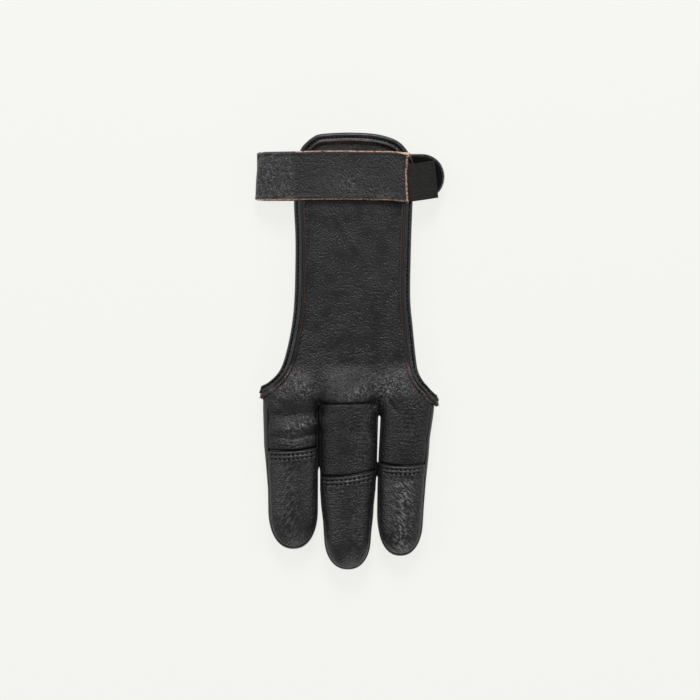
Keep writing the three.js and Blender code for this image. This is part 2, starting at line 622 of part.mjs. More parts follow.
function elasticBand() {
  const edgeX = PANEL_SIDE_X + 1.6;
  const fall = spread(0, 1, 6).map((t) => [
    THREE.MathUtils.lerp(edgeX, CLOSURE_X, t),
    THREE.MathUtils.lerp(ELASTIC_Z, CLOSED_Z, smooth(t)),
  ]);
  const path = [[ELASTIC_ROOT_X, ELASTIC_Z], ...fall, [ELASTIC_TIP_X, CLOSED_Z]];
  const solid = band(path, ELASTIC, ELASTIC_WIDTH, 0);
  const pivotX = (edgeX + ELASTIC_TIP_X) / 2;
  return solid
    .translate([-pivotX, 0, 0])
    .rotate([0, 0, ELASTIC_TURN_DEG])
    .translate([pivotX, STRAP_Y - ELASTIC_DROP, 0]);
}

// Materials
const leather = (color, roughness) => new THREE.MeshStandardMaterial({ color, roughness, metalness: 0 });
const panelLeather = leather(0x303032, 0.55);
const tipLeather = leather(0x363637, 0.5);
const bindingLeather = leather(0x2c2c2d, 0.5);
const strapLeather = leather(0x3a3a3b, 0.65);
const elasticWeave = leather(0x2c2c2a, 0.9);
const hookTape = leather(0x1c1c1c, 0.85);

const glove = new THREE.Group();
const add = (name, solid, material) => glove.add(toMesh(name, solid, material));

add('back_panel', backPanel(), panelLeather);
add('middle_finger_back', middleBack(), panelLeather);
for (const f of FINGERS) {
  const shell = fingerForm(f, 0).subtract(fingerForm(f, LEATHER));
  add(`tip_cover_${f.name}`, tipCover(f, shell), tipLeather);
  add(`finger_front_${f.name}`, fingerFront(f, shell), tipLeather);
}
add('edge_binding', edgeBinding(), bindingLeather);
add('mouth_binding', mouthBinding(), bindingLeather);
add('wrist_strap', wristStrap(), strapLeather);
add('hook_patch', hookPatch(), hookTape);
add('elastic_band', elasticBand(), elasticWeave);

export default glove;
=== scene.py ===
import math
from types import SimpleNamespace

import bmesh
import bpy
import numpy as np
from bpy.props import FloatProperty, FloatVectorProperty, PointerProperty
from bpy.types import Operator, Panel, PropertyGroup
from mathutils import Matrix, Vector


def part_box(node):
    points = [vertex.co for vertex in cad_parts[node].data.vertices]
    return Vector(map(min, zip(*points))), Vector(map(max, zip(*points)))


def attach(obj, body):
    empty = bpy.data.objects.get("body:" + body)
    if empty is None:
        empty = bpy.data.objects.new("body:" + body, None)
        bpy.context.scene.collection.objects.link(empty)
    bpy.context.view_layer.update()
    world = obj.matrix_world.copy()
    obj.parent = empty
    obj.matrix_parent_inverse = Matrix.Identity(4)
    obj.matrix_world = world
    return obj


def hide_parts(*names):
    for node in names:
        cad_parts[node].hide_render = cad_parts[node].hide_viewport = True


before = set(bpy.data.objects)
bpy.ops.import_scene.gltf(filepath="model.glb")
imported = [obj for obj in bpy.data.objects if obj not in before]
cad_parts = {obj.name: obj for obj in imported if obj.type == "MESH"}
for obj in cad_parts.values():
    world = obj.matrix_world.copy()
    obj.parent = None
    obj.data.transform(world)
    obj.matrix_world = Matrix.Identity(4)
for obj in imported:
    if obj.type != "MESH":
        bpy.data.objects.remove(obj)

bl_info = {
    "name": "Archery Glove",
    "version": (1, 0, 0),
    "blender": (4, 5, 0),
    "location": "3D View > Sidebar > Glove",
    "description": "Dresses the frame of a three-finger leather shooting glove that lies palm down",
    "category": "Add Mesh",
}

# Shapes are worked out in millimetres and turned to metres when a mesh is made.
MM = 0.001
BODY = "root"
# Points closer than this are merged
MERGE = 0.002


def linear(colour):
    """sRGB hex to linear light: c/12.92 up to 0.04045, and ((c + 0.055)/1.055)^2.4 above it."""
    c = np.array([int(colour[i : i + 2], 16) for i in (1, 3, 5)]) / 255
    light = np.where(c <= 0.04045, c / 12.92, ((c + 0.055) / 1.055) ** 2.4)
    return tuple(light.tolist())


def smooth(t):
    """Eased step: 3t^2 - 2t^3 from 0 to 1, flat outside."""
    c = np.clip(t, 0, 1)
    return c * c * (3 - 2 * c)


def mix(a, b, t):
    """Straight mix of a and b."""
    return a + (b - a) * t


def hump(distance, width):
    """Bell curve exp(-(d/w)^2) of a distance."""
    return np.exp(-((distance / width) ** 2))


def rounded(distance, radius):
    """Quarter round of an edge: (1 - (1 - d/r)^2)^0.5, and 1 from the radius on."""
    return np.sqrt(np.clip(1 - (1 - np.clip(distance / radius, 0, 1)) ** 2, 0, 1))


def unit(vectors):
    """Vectors brought to a length of 1."""
    return vectors / np.linalg.norm(vectors, axis=-1, keepdims=True)


def square_to(vectors, axes):
    """The part of each vector that is at right angles to its unit axis."""
    return vectors - axes * np.sum(vectors * axes, 1, keepdims=True)


def lengths_along(line):
    """How far each point of a line lies from its start, along it."""
    return np.concatenate([[0], np.cumsum(np.linalg.norm(np.diff(line, axis=0), axis=1))])


def node_box(name):
    """A node's lowest and highest corners, in millimetres."""
    low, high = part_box(name)
    return np.array(low) / MM, np.array(high) / MM


# Sizes that the frame gives
MIDDLE_LOW, MIDDLE_HIGH = node_box("finger_front_middle")
BINDING_LOW, BINDING_HIGH = node_box("edge_binding")
STRAP_LOW, STRAP_HIGH = node_box("wrist_strap")
HOOK_LOW, HOOK_HIGH = node_box("hook_patch")
MOUTH_Y = MIDDLE_HIGH[1]
FINGER_LENGTH = MOUTH_Y - MIDDLE_LOW[1]
PANEL_TOP_Y = BINDING_HIGH[1]

# Panel
PANEL_WIDTH = 59
PANEL_X = 1.4
PANEL_Z = 10.4
KNUCKLE_RISE = 0.8
KNUCKLE_BLEND = 19.5
VALLEY = 5
VALLEY_SOFT = 1.6
FLARE_LEFT = 2
FLARE_RIGHT = 1.6
SWELL_END = 4
RISE_RUN = 40

# Fingers
FINGER_WIDTH = 29.4
FINGER_HEIGHT = 15.6
FINGER_ROUND = 16
COVER_LENGTH = 48.2
SEAM_TILT = 1.6
SEAM_BOW = 1.0
MIDDLE_X = -1.3
SLIT_LEFT = 0.5
SLIT_RIGHT = 2
MIDLINE = 5.8
LIFT_LEVEL = 5
LIFT_RUN = 6
NOTCH = 5.2
TOP_POWER = 2.3
TIP_POWER = 2.25
SOLE_BASE = 8
SOLE_TIP = 3.6
SHEET_EDGE = 0.88
SLIT_SHARE = 0.97

# Walls and clearances
LEATHER = 1.2
BINDING = 0.9
GAP = 0.3
SEAM_GAP = 0.15
LIFT = BINDING + GAP

# A row for each finger, from the left: sizes as shares of the ones above, the seams' places as shares of the
# half width, and stations with the half width and the shift of the middle line. creases is the direction of
# the tip's creases in degrees, followed by the place, breadth and strength of a creased band down the tip
# that is glossier and takes a painted highlight.
FINGER_ROWS = (
    {
        "name": "first", "length": 0.884, "width": 0.925, "height": 0.936, "round": 1.25, "cover": 1.041,
        "tilt": 0.47, "bow": 1, "seams": (0.85, 0.985), "tip_seams": (0.955, 0.97),
        "creases": 52, "rubbed": (-0.15, 0.35, 0.3),
        "at": (0, 0.11, 0.34, 0.47, 0.62, 1),
        "halves": (0.507, 0.507, 0.497, 0.479, 0.461, 0.452),
        "shifts": (0, 0, 0.009, 0.027, 0.044, 0.05),
    },
    {
        "name": "middle", "length": 1, "width": 1, "height": 1, "round": 1, "cover": 1,
        "tilt": 1, "bow": 1, "seams": (0.99, 0.985), "tip_seams": (0.965, 0.965),
        "creases": 4, "rubbed": (0.2, 0.3, 0.12),
        "at": (0, 0.12, 0.42, 0.55, 0.64, 0.73, 0.84, 1),
        "halves": (0.49, 0.496, 0.482, 0.468, 0.442, 0.417, 0.397, 0.387),
        "shifts": (0, 0.01, 0.007, -0.007, -0.015, -0.007, -0.007, 0),
    },
    {
        "name": "third", "length": 0.923, "width": 0.918, "height": 0.949, "round": 1.125, "cover": 0.96,
        "tilt": 0, "bow": 1.3, "seams": (0.985, 0.89), "tip_seams": (0.97, 0.955),
        "creases": -48, "rubbed": (0.05, 0.42, 0.9),
        "at": (0, 0.11, 0.16, 0.28, 0.38, 0.55, 0.7, 0.8, 1),
        "halves": (0.5, 0.489, 0.4815, 0.463, 0.462, 0.444, 0.426, 0.417, 0.41),
        "shifts": (0, 0, -0.013, -0.05, -0.069, -0.106, -0.124, -0.133, -0.137),
    },
)
FINGER_SIZES = {
    "length": FINGER_LENGTH, "width": FINGER_WIDTH, "height": FINGER_HEIGHT, "round": FINGER_ROUND,
    "cover": COVER_LENGTH, "tilt": SEAM_TILT, "bow": SEAM_BOW,
}


class Finger:
    """One finger, with its row's values. u runs from the mouth to the tip, and a share of -1 or 1 is a side."""

    def __init__(self, row):
        vars(self).update(row)
        for key, size in FINGER_SIZES.items():
            setattr(self, key, row[key] * size)
        self.seam = self.length - self.cover
        self.straight = self.length - self.round
        self.base = MIDDLE_X

    def half(self, u):
        return self.width * np.interp(u / self.length, self.at, self.halves)

    def centre(self, u):
        return self.base + self.width * np.interp(u / self.length, self.at, self.shifts)

    def side(self, u, share):
        return self.centre(u) + share * self.half(u)

    def roundness(self, x, y):
        """0 on the middle line and 1 on the outline: (|across|^p + along^p)^(1/p)."""
        u = MOUTH_Y - y
        across = np.abs(x - self.centre(u)) / self.half(u)
        along = np.maximum(0, (u - self.straight) / self.round)
        return (across**TIP_POWER + along**TIP_POWER) ** (1 / TIP_POWER)

    def top(self, q):
        """Height of the domed back at a roundness."""
        return MIDLINE + (self.height - MIDLINE) * dome(q)

    def seam_y(self, v):
        """The seam at the head of the tip cover, at v half widths from the middle line."""
        return MOUTH_Y - self.seam + self.tilt * v + self.bow * (v * v - 0.5)

    def seam_share(self, u, side):
        """Roundness at which the back meets the palm side, wider at the mouth and at the tip."""
        k = 0 if side < 0 else 1
        back = mix(self.seams[k], self.tip_seams[k], smooth((u - self.seam + 2) / 14))
        return mix(1.0, back, smooth((u - 1) / 8))


def dome(q):
    """Superellipse (1 - q^p)^(1/p)."""
    return np.clip(1 - np.abs(q) ** TOP_POWER, 0, 1) ** (1 / TOP_POWER)


def dome_sheet(q):
    """The dome, carried on in a straight slope past SHEET_EDGE."""
    slope = (dome(SHEET_EDGE) - dome(SHEET_EDGE - 0.001)) / 0.001
    return np.where(q <= SHEET_EDGE, dome(q), np.maximum(0, dome(SHEET_EDGE) + slope * (q - SHEET_EDGE)))


FINGERS = [Finger(row) for row in FINGER_ROWS]
FIRST, MIDDLE, THIRD = FINGERS
FIRST.base = MIDDLE_X - MIDDLE.half(0) - SLIT_LEFT - FIRST.half(0)
THIRD.base = MIDDLE_X + MIDDLE.half(0) + SLIT_RIGHT + THIRD.half(0)
LEFT_CORNER_X = FIRST.side(0, -1) - FLARE_LEFT
RIGHT_CORNER_X = THIRD.side(0, 1) + FLARE_RIGHT

# Folds of the back: middle x and y, direction in degrees, length, breadth and rise.
FOLDS = (
    (-28.1, -31.6, 2, 13, 3.2, -1.2),
    (-28.0, -38.2, 9, 10, 2.3, 1.2),
    (-36.0, -25.5, -35, 5, 1.6, -0.4),
    (-21.5, -42.0, 12, 6, 1.1, -1.1),
    (-31.0, -43.4, -7, 7, 1.2, -0.6),
    (-29.5, -47.2, -12, 6, 1.4, 0.35),
    (-24.0, -17.0, -20, 7, 4.5, 0.5),
    (-33.8, -19.5, 80, 4.5, 1.2, -0.45),
    (-18.2, -23.0, -50, 4.5, 1.1, -0.6),
    (10.8, -39.8, 66, 9.4, 2.95, -0.48),
    (4.4, -46.3, 60, 8.3, 4.1, 0.42),
    (30.9, -33.4, 78, 11.8, 4.7, 0.42),
    (24.5, -14.5, 50, 12, 4.2, 0.6),
    (17.0, -21.5, 84, 5, 1.5, 0.5),
    (13.2, -25.5, 48, 4.5, 1.0, -0.55),
    (21.0, -27.5, -52, 5, 1.2, -0.5),
    (9.0, -22.8, 40, 4, 1.0, 0.3),
    (-16.3, -11.3, -62, 13, 4.7, 0.5),
    (2.6, 17.2, 58, 14.2, 5.3, 0.3),
    (-1.5, 58.5, -58, 9, 1.6, 0.22),
    (1.6, 56.8, -58, 8, 1.4, -0.18),
    (-6.0, 40.0, 75, 16, 5, 0.2),
    (15.0, 48.0, -70, 14, 6, -0.2),
)

# Fields of fine wrinkles: middle x and y, direction in degrees, length, breadth, spacing, bend and depth.
WRINKLES = (
    (-27.5, -36.0, 14, 8, 4.5, 1.7, 0.03, 0.13),
    (-30.0, -45.0, 0, 8, 5, 1.9, -0.02, 0.1),
    (-30.5, -19.0, -30, 6, 5, 1.8, 0.03, 0.12),
    (6.5, -21.5, 70, 5, 8, 1.7, 0.05, 0.1),
    (10.5, -27.0, 50, 4, 3, 1.5, 0.0, 0.12),
    (18.5, -15.0, 30, 8, 6, 1.8, 0.03, 0.1),
    (6.5, -46.0, -6, 6, 15, 2.2, 0.04, 0.1),
    (30.5, -38.0, 2, 7, 14, 2.3, -0.035, 0.08),
    (0.0, -14.0, 40, 10, 8, 2.1, 0.02, 0.06),
)


# Patches creased at the knuckles, whose creases also take a painted highlight: middle x and y, direction,
# length, breadth and amount
CREASE_SHEEN_PATCHES = (
    (-26.5, -16.5, -15, 8, 6, 0.7),
    (-21.5, -20.5, -40, 3.5, 2.5, 0.7),
    (-34.0, -21.0, 45, 5, 2.5, 0.5),
    (3.5, -21.0, 25, 9, 3.6, 0.9),
    (-9.0, -15.5, 20, 7, 5, 0.25),
    (19.8, -16.6, -12, 9, 4.6, 1.0),
    (17.4, -22.5, 75, 5.5, 2.6, 0.8),
    (13.0, -27.0, 55, 4, 2, 0.5),
    (-25.0, -36.2, 12, 8.5, 2.8, 1.0),
    (-28.0, -43.5, 0, 8, 3.5, 0.35),
    (8.0, -45.0, 75, 18, 4.5, 0.25),
    (31.0, -38.0, 80, 16, 8, 0.1),
)


def patch(x, y, row):
    """Turned bell curve of a row's place, direction, length and breadth, with the distances along and aside."""
    patch_x, patch_y, degrees, length, breadth = row
    along, aside = turned(x - patch_x, y - patch_y, degrees)
    return np.exp(-((along / length) ** 2) - (aside / breadth) ** 2), along, aside


def crease_sheen_at(x, y):
    """How creased the back is, and how strongly its creases take a painted highlight."""
    return sum(amount * patch(x, y, place)[0] for *place, amount in CREASE_SHEEN_PATCHES)


def relief(x, y):
    """Folds, and waves sin(2 pi (aside + bend along^2)/spacing) under the wrinkles' bell curves."""
    total = sum(rise * patch(x, y, place)[0] for *place, rise in FOLDS)
    for *place, spacing, bend, depth in WRINKLES:
        under, along, aside = patch(x, y, place)
        wander = 0.6 * np.sin(along * 0.9) + 0.5 * np.sin(aside * 0.7 + along * 0.4)
        total = total + depth * under * np.sin(2 * np.pi * (aside + bend * along**2) / spacing + wander)
    return total


def turned(dx, dy, degrees):
    """Distances along and aside from a direction."""
    turn = math.radians(degrees)
    return dx * math.cos(turn) + dy * math.sin(turn), dy * math.cos(turn) - dx * math.sin(turn)


SWELL_FROM_Y = MOUTH_Y - SWELL_END + KNUCKLE_BLEND
RISE_FROM_Y = SWELL_FROM_Y + RISE_RUN / 2


def finger_back(finger, x, y):
    """A finger's back, which flares in a straight slope at the mouth and is fully domed further on."""
    q = finger.roundness(x, y)
    return MIDLINE + (finger.height - MIDLINE) * mix(dome_sheet(q), dome(q), smooth((MOUTH_Y - y - 8) / 7))


def back_height(x, y, fingers=FINGERS):
    """Upper face of the whole back: a flat panel that eases into the largest of three finger domes.

    Where the domes lie lower than the panel, in the two valleys, they take over only next to the notch. The
    rise d over the panel is split softly in two: (d + r)/2 above and (d - r)/2 below, r^2 = d^2 + soft^2."""
    swell = smooth((SWELL_FROM_Y - y) / KNUCKLE_BLEND)
    flat = PANEL_Z + KNUCKLE_RISE * smooth((RISE_FROM_Y - y) / RISE_RUN)
    rise = np.maximum.reduce([finger_back(f, x, y) for f in fingers]) - flat
    late = smooth((MOUTH_Y - NOTCH + VALLEY - y) / VALLEY)
    between = 1 - smooth((np.abs(x - MIDDLE_X) / FINGER_WIDTH - 0.75) / 0.2)
    soft = np.hypot(rise, VALLEY_SOFT)
    return flat + (rise + soft) / 2 * swell + (rise - soft) / 2 * mix(swell, late, between)


def back_points(x, y, fingers=FINGERS):
    """Points of the back over a grid of places in plan."""
    x, y = np.broadcast_arrays(x, y)
    return np.stack([x, y, back_height(x, y, fingers)], axis=-1)


def normals_of(points):
    """Unit normals of a grid: the cross product of its steps by row and by column."""
    n = np.cross(np.gradient(points, axis=0), np.gradient(points, axis=1))
    return n / np.maximum(np.linalg.norm(n, axis=-1, keepdims=True), 1e-12)


def push(points, amount):
    """Moves a grid along its own normals."""
    return points + normals_of(points) * np.asarray(amount)[..., None]


def quads(rows, columns, wrap=False, wrap_rows=False):
    """Corner numbers of a grid's faces, wound so that row step x column step points out."""
    r = np.arange(rows if wrap_rows else rows - 1)[:, None]
    c = np.arange(columns if wrap else columns - 1)[None, :]
    r2 = (r + 1) % rows
    c2 = (c + 1) % columns
    return np.stack(
        [r * columns + c, r2 * columns + c, r2 * columns + c2, r * columns + c2], axis=-1
    )


def join(*parts):
    """Several (points, faces, values) as one; values is a dict of one number per point."""
    count = 0
    points, faces, values = [], [], {}
    for p, f, v in parts:
        p = p.reshape(-1, 3)
        points.append(p)
        faces.append(f.reshape(-1, 4) + count)
        for key, numbers in v.items():
            values.setdefault(key, []).append(np.broadcast_to(np.ravel(numbers), len(p)))
        count += len(p)
    return (
        np.concatenate(points),
        np.concatenate(faces),
        {key: np.concatenate(numbers) for key, numbers in values.items()},
    )


def place_object(name, data):
    """A new object of this mesh, light or camera, in the scene."""
    made = bpy.data.objects.new(name, data)
    bpy.context.collection.objects.link(made)
    return made


def make_piece(name, part, materials, replaces=(), wall=0.0):
    """Mesh object in metres from (points, faces, values). A wall grows inwards, the last material inside."""
    points, faces, values = part
    mesh = bpy.data.meshes.new(name)
    mesh.from_pydata((points.reshape(-1, 3) * MM).tolist(), [], faces.reshape(-1, 4).tolist())
    for key, numbers in values.items():
        attribute = mesh.attributes.new(key, "FLOAT", "POINT")
        attribute.data.foreach_set("value", np.asarray(numbers, np.float32).ravel())
    work = bmesh.new()
    work.from_mesh(mesh)
    bmesh.ops.remove_doubles(work, verts=work.verts, dist=MERGE * MM)
    bmesh.ops.dissolve_degenerate(work, edges=work.edges, dist=MERGE * MM * 0.1)
    work.to_mesh(mesh)
    work.free()
    mesh.shade_smooth()
    for material in materials:
        mesh.materials.append(material)
    piece = place_object(name, mesh)
    if wall:
        solid = piece.modifiers.new("wall", "SOLIDIFY")
        solid.thickness = wall * MM
        solid.offset = -1
        solid.use_even_offset = False
        solid.material_offset = len(materials) - 1
        solid.material_offset_rim = 0
    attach(piece, BODY)
    if replaces:
        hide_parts(*replaces)


# Panel outline: share of the way down to the mouth, half widths to the left and right as shares of the
# panel's width, and how far each side has flared out to its corner.
PANEL_ROWS = (
    (0, 0.12, 0.05, 0, 0),
    (0.006, 0.285, 0.2, 0, 0),
    (0.02, 0.352, 0.318, 0, 0),
    (0.036, 0.395, 0.388, 0, 0),
    (0.056, 0.435, 0.435, 0, 0),
    (0.09, 0.47, 0.486, 0, 0),
    (0.118, 0.475, 0.51, 0, 0),
    (0.16, 0.485, 0.508, 0, 0),
    (0.27, 0.502, 0.502, 0, 0),
    (0.42, 0.49, 0.49, 0, 0),
    (0.63, 0.498, 0.482, 0, 0),
    (0.75, 0.5, 0.49, 0.08, 0.06),
    (0.86, 0.5, 0.49, 0.255, 0.165),
    (0.92, 0.5, 0.49, 0.43, 0.26),
    (0.958, 0.5, 0.49, 0.69, 0.45),
    (0.975, 0.5, 0.49, 0.9, 0.59),
    (0.992, 0.5, 0.49, 1, 0.73),
    (1.015, 0.5, 0.49, 0.985, 0.97),
)
EDGE_SAMPLES = 1400


def spline(points, count):
    """Catmull-Rom curve through points, with its unit tangents, at evenly spaced parameters."""
    points = np.asarray(points, float)
    last = len(points) - 1
    p = np.linspace(0, last, count)
    i = np.minimum(p.astype(int), last - 1)
    t = (p - i)[:, None]
    a, b = points[np.maximum(i - 1, 0)], points[i]
    c, d = points[i + 1], points[np.minimum(i + 2, last)]
    v, w = (c - a) / 2, (d - b) / 2
    place = (2 * b - 2 * c + v + w) * t**3 + (-3 * b + 3 * c - 2 * v - w) * t**2 + v * t + b
    slope = 3 * (2 * b - 2 * c + v + w) * t**2 + 2 * (-3 * b + 3 * c - 2 * v - w) * t + v
    return place, slope / np.linalg.norm(slope, axis=1, keepdims=True)


def panel_edge():
    """The panel's outline in plan, from its left corner over the top to its right, and inward directions."""
    rows = np.array(PANEL_ROWS)
    y = mix(PANEL_TOP_Y, MOUTH_Y, rows[:, 0])
    left = mix(PANEL_X - PANEL_WIDTH * rows[:, 1], LEFT_CORNER_X, rows[:, 3])
    right = mix(PANEL_X + PANEL_WIDTH * rows[:, 2], RIGHT_CORNER_X, rows[:, 4])
    points = np.concatenate([np.stack([left, y], 1)[::-1], np.stack([right, y], 1)])
    place, tangent = spline(points, EDGE_SAMPLES)
    return place, np.stack([tangent[:, 1], -tangent[:, 0]], 1)


EDGE, EDGE_INWARD = panel_edge()
SHEET_LINE = EDGE + EDGE_INWARD * (BINDING + GAP)
TOP_INDEX = int(np.argmax(SHEET_LINE[:, 1]))


def sheet_side(y, side):
    """x of the panel's sheet at its left or right side, which runs on into the outer side of a finger."""
    line = SHEET_LINE[: TOP_INDEX + 1] if side < 0 else SHEET_LINE[TOP_INDEX:][::-1]
    order = np.argsort(line[:, 1], kind="stable")
    outline = np.interp(y, line[order, 1], line[order, 0])
    finger = FIRST if side < 0 else THIRD
    u = MOUTH_Y - y
    outer = finger.side(u, side * finger.seam_share(u, side))
    return mix(outline, outer, smooth((u + 0.5) / 7))


def notch_y(x):
    """The seam at the base of the middle finger."""
    v = np.clip((x - MIDDLE.centre(NOTCH)) / MIDDLE.half(NOTCH), -1, 1)
    return MOUTH_Y - NOTCH + 0.35 * v + 0.35 * (v * v - 0.6)


def spread(start, stop, count, ease=0.0):
    """count numbers from start to stop, closer together at both ends as ease goes to 1."""
    t = np.linspace(0, 1, count)
    return mix(start, stop, mix(t, 0.5 - 0.5 * np.cos(np.pi * t), ease))


ZONE_COLUMNS = 62
BODY_ROWS = 190
LEG_ROWS = 96
WEB_LEFT = 6.5
WEB_RIGHT = 10.5


def seam_sink(distance, depth, width):
    """Rounded turn of a leather edge down into its seam: -depth exp(-(d/w)^2)."""
    return -depth * hump(distance, width)


def back_part(points, amount):
    """A grid of the back, pushed along its normals, with its creased places, which also take a painted
    highlight.
    """
    return push(points, amount), quads(*points.shape[:2]), {"worn": crease_sheen_at(points[..., 0], points[..., 1])}


def panel_part(sizes):
    """Back of the hand in one with the outer finger backs.

    Rows run from the wrist to the knuckles, and columns across in three zones that are split at the slits. Past
    the notch only the outer zones run on, each as a leg to its tip seam. Height is back_height, pushed along
    the normal by the folds and sunk along the seams."""
    share = np.linspace(0, 1, ZONE_COLUMNS)
    t = np.linspace(0, 1, BODY_ROWS)[:, None]
    columns = np.concatenate([share / 3, (1 + share[1:]) / 3, (2 + share[1:]) / 3])[None, :]
    top_y = SHEET_LINE[TOP_INDEX, 1] - 0.02
    guess_y = mix(top_y, MOUTH_Y - NOTCH, t)
    left, right = sheet_side(guess_y, -1), sheet_side(guess_y, 1)
    split = smooth((t - 0.35) / 0.65)
    a = mix(mix(left, right, 1 / 3), MIDDLE.side(NOTCH, -SLIT_SHARE), split)
    b = mix(mix(left, right, 2 / 3), MIDDLE.side(NOTCH, SLIT_SHARE), split)
    inner = np.where(columns <= 2 / 3, mix(a, b, columns * 3 - 1), mix(b, right, columns * 3 - 2))
    x = np.where(columns <= 1 / 3, mix(left, a, columns * 3), inner)
    y = mix(top_y, notch_y(x), t)
    to_notch = np.where((columns > 1 / 3) & (columns < 2 / 3), y - notch_y(x), 99)
    amount = relief(x, y) + seam_sink(to_notch, sizes.groove, 0.65) + 0.12 * hump(to_notch - 1.8, 1.0)
    parts = [back_part(back_points(x, y), amount)]
    for finger, side, first, web in ((FIRST, -1, 0, WEB_LEFT), (THIRD, 1, 2 * ZONE_COLUMNS - 2, WEB_RIGHT)):
        start_x, start_y = [grid[-1:, first : first + ZONE_COLUMNS] for grid in (x, y)]
        k = np.linspace(0, 1, LEG_ROWS)[:, None]
        k = mix(k, 1 - (1 - k) ** 2.2, 0.5)
        v = np.linspace(-finger.seam_share(50, -1), finger.seam_share(50, 1), ZONE_COLUMNS)[None, :]
        leg_y = mix(start_y, finger.seam_y(v), k)
        u = MOUTH_Y - leg_y
        slit = finger.side(u, -side * finger.seam_share(u, -side))
        slit = mix(MIDDLE.side(u, side * SLIT_SHARE), slit, smooth((u - web) / 3))
        edges = (sheet_side(leg_y, side), slit)[::-side]
        started = smooth(k * 12)
        leg_x = mix(start_x, mix(*edges, share[None, :]), started)
        leg = mix(back_points(leg_x, leg_y), back_points(leg_x, leg_y, [finger]), started[..., None])
        half = finger.half(u)
        to_side = np.minimum(share * 2, 2 - share * 2)[None, :] * half
        to_seam = leg_y - finger.seam_y((leg_x - finger.centre(u)) / half)
        amount = relief(leg_x, leg_y) + seam_sink(to_seam, sizes.groove, 0.55)
        amount = amount + seam_sink(to_side, 0.5, 0.5) * smooth((u - 6) / 5)
        parts.append(back_part(leg, amount))
    return join(*parts)


# How far the middle finger's back runs on under the panel at its seam
TUCK = 1.1
MIDDLE_COLUMNS = 84
MIDDLE_ROWS = 130


def middle_back_part(sizes):
    """Middle finger's own back, from the notch to its tip seam, sunk along its four edges."""
    w = spread(-1, 1, MIDDLE_COLUMNS, 0.5)[None, :]
    v = w * MIDDLE.seam_share(40, 1)
    head = notch_y(MIDDLE.side(NOTCH, v)) - SEAM_GAP
    y = mix(head + TUCK, MIDDLE.seam_y(v), spread(0, 1, MIDDLE_ROWS, 0.6)[:, None])
    u = MOUTH_Y - y
    share = np.where(w < 0, MIDDLE.seam_share(u + 6, -1), MIDDLE.seam_share(u + 6, 1))
    corners = 1 + 0.035 * smooth((y - head + 0.9) / 0.6)
    x = MIDDLE.side(u, w * share * corners)
    amount = relief(x, y) + seam_sink(y - MIDDLE.seam_y(v), sizes.groove, 0.55)
    amount = amount + seam_sink(np.maximum(0, head - y), 1.6 * sizes.groove, 0.6)
    amount = amount - 0.6 * smooth((y - head) / TUCK)
    amount = amount + seam_sink((1 - np.abs(w)) * MIDDLE.half(u), 0.25, 0.4)
    return back_part(back_points(x, y), amount)


def finger_point(finger, u, v, height):
    """Points of a finger's form at u along, v half widths across and a given height."""
    return np.stack([finger.side(u, v), np.broadcast_to(MOUTH_Y - u, v.shape), height], -1)


def section(finger, u):
    """Across a finger at u, where v = reach cos(angle): the seams' roundness to the left and right, how far
    round the tip u is, the reach, and the angles of the left and right seam from the horizontal."""
    along = np.clip((u - finger.straight) / finger.round, 0, 1)
    reach = np.maximum(1 - along**TIP_POWER, 1e-12) ** (1 / TIP_POWER)
    ease = smooth((u - finger.straight + 6) / 8)
    seams = [mix(finger.seam_share(u, side), min(finger.tip_seams), ease) for side in (-1, 1)]
    places = [np.clip(q**TIP_POWER - along**TIP_POWER, 0, None) ** (1 / TIP_POWER) for q in seams]
    left, right = [np.arccos(np.clip(place / reach, 0, 1)) for place in places]
    return seams, along, reach, left, right


def roundness_at(v, along):
    """Roundness (|v|^p + along^p)^(1/p), at most 1."""
    return np.minimum(1, (np.abs(v) ** TIP_POWER + along**TIP_POWER) ** (1 / TIP_POWER))


COVER_COLUMNS = 100
COVER_ROWS = 158
COVER_BEND = 0.62
STITCH_ROWS = (2.1, 4.15)


def puff(down, sizes):
    """Height of the padded head of a tip cover, by the distance from its seam."""
    edge = seam_sink(down, sizes.groove, 0.45)
    return edge + 0.42 * hump(down - 1.3, 0.9) + 0.34 * hump(down - 3.4, 0.9) + 0.12 * hump(down - 5.4, 1.2)


def cover_part(finger, sizes):
    """Padded tip cover: rows from the seam to the tip, columns over the dome from side to side.

    The relief is the turned edge at the seam, a puff with two stitched grooves dimpled at every stitch, and a
    turned edge all round."""
    k = np.linspace(0, 1, COVER_ROWS)[:, None]
    k = mix(k, k**1.9, 0.7)
    c = np.linspace(0, 1, COVER_COLUMNS)[None, :]
    start = MOUTH_Y - finger.seam_y(-np.cos(np.pi * c) * finger.tip_seams[0]) + SEAM_GAP
    turn = np.clip((k - COVER_BEND) / (1 - COVER_BEND), 0, 1) * math.asin(min(finger.tip_seams))
    straight = mix(start, finger.straight, k / COVER_BEND)
    u = np.where(k < COVER_BEND, straight, finger.straight + finger.round * np.sin(turn))
    seams, along, reach, left, right = section(finger, u)
    v = reach * np.cos(mix(np.pi - left, right, c))
    q = roundness_at(v, along)
    points = finger_point(finger, u, v, finger.top(q))
    down = finger.seam_y(v) - (MOUTH_Y - u) - SEAM_GAP
    rim = (np.where(v < 0, *seams) - q) * finger.half(u)
    stitch = 2 * np.pi * v * finger.half(u) / sizes.stitch_pitch
    inside = smooth(rim / 2.5)
    amount = puff(down, sizes) + seam_sink(rim, 0.35, 0.4)
    for row in STITCH_ROWS:
        amount = amount - inside * (0.2 + 0.1 * np.cos(stitch)) * hump(down - row, 0.45)
    amount = amount + inside * 0.07 * np.sin(stitch) * hump(down - 5.6, 1.4)
    cross, flow = turned(points[..., 0], points[..., 1], finger.creases - 90)
    # Band down the tip where the creases stand out and are glossier, with a painted highlight in the base
    # colour
    place, breadth, strength = finger.rubbed
    worn = strength * hump(v - place, breadth) * smooth((down - 5) / 4)
    values = {"flow": flow * MM, "cross": cross * MM, "worn": worn}
    return push(points, amount), quads(COVER_ROWS, COVER_COLUMNS), values


FRONT_COLUMNS = 100
FRONT_ROWS = 128
FRONT_BEND = 0.68
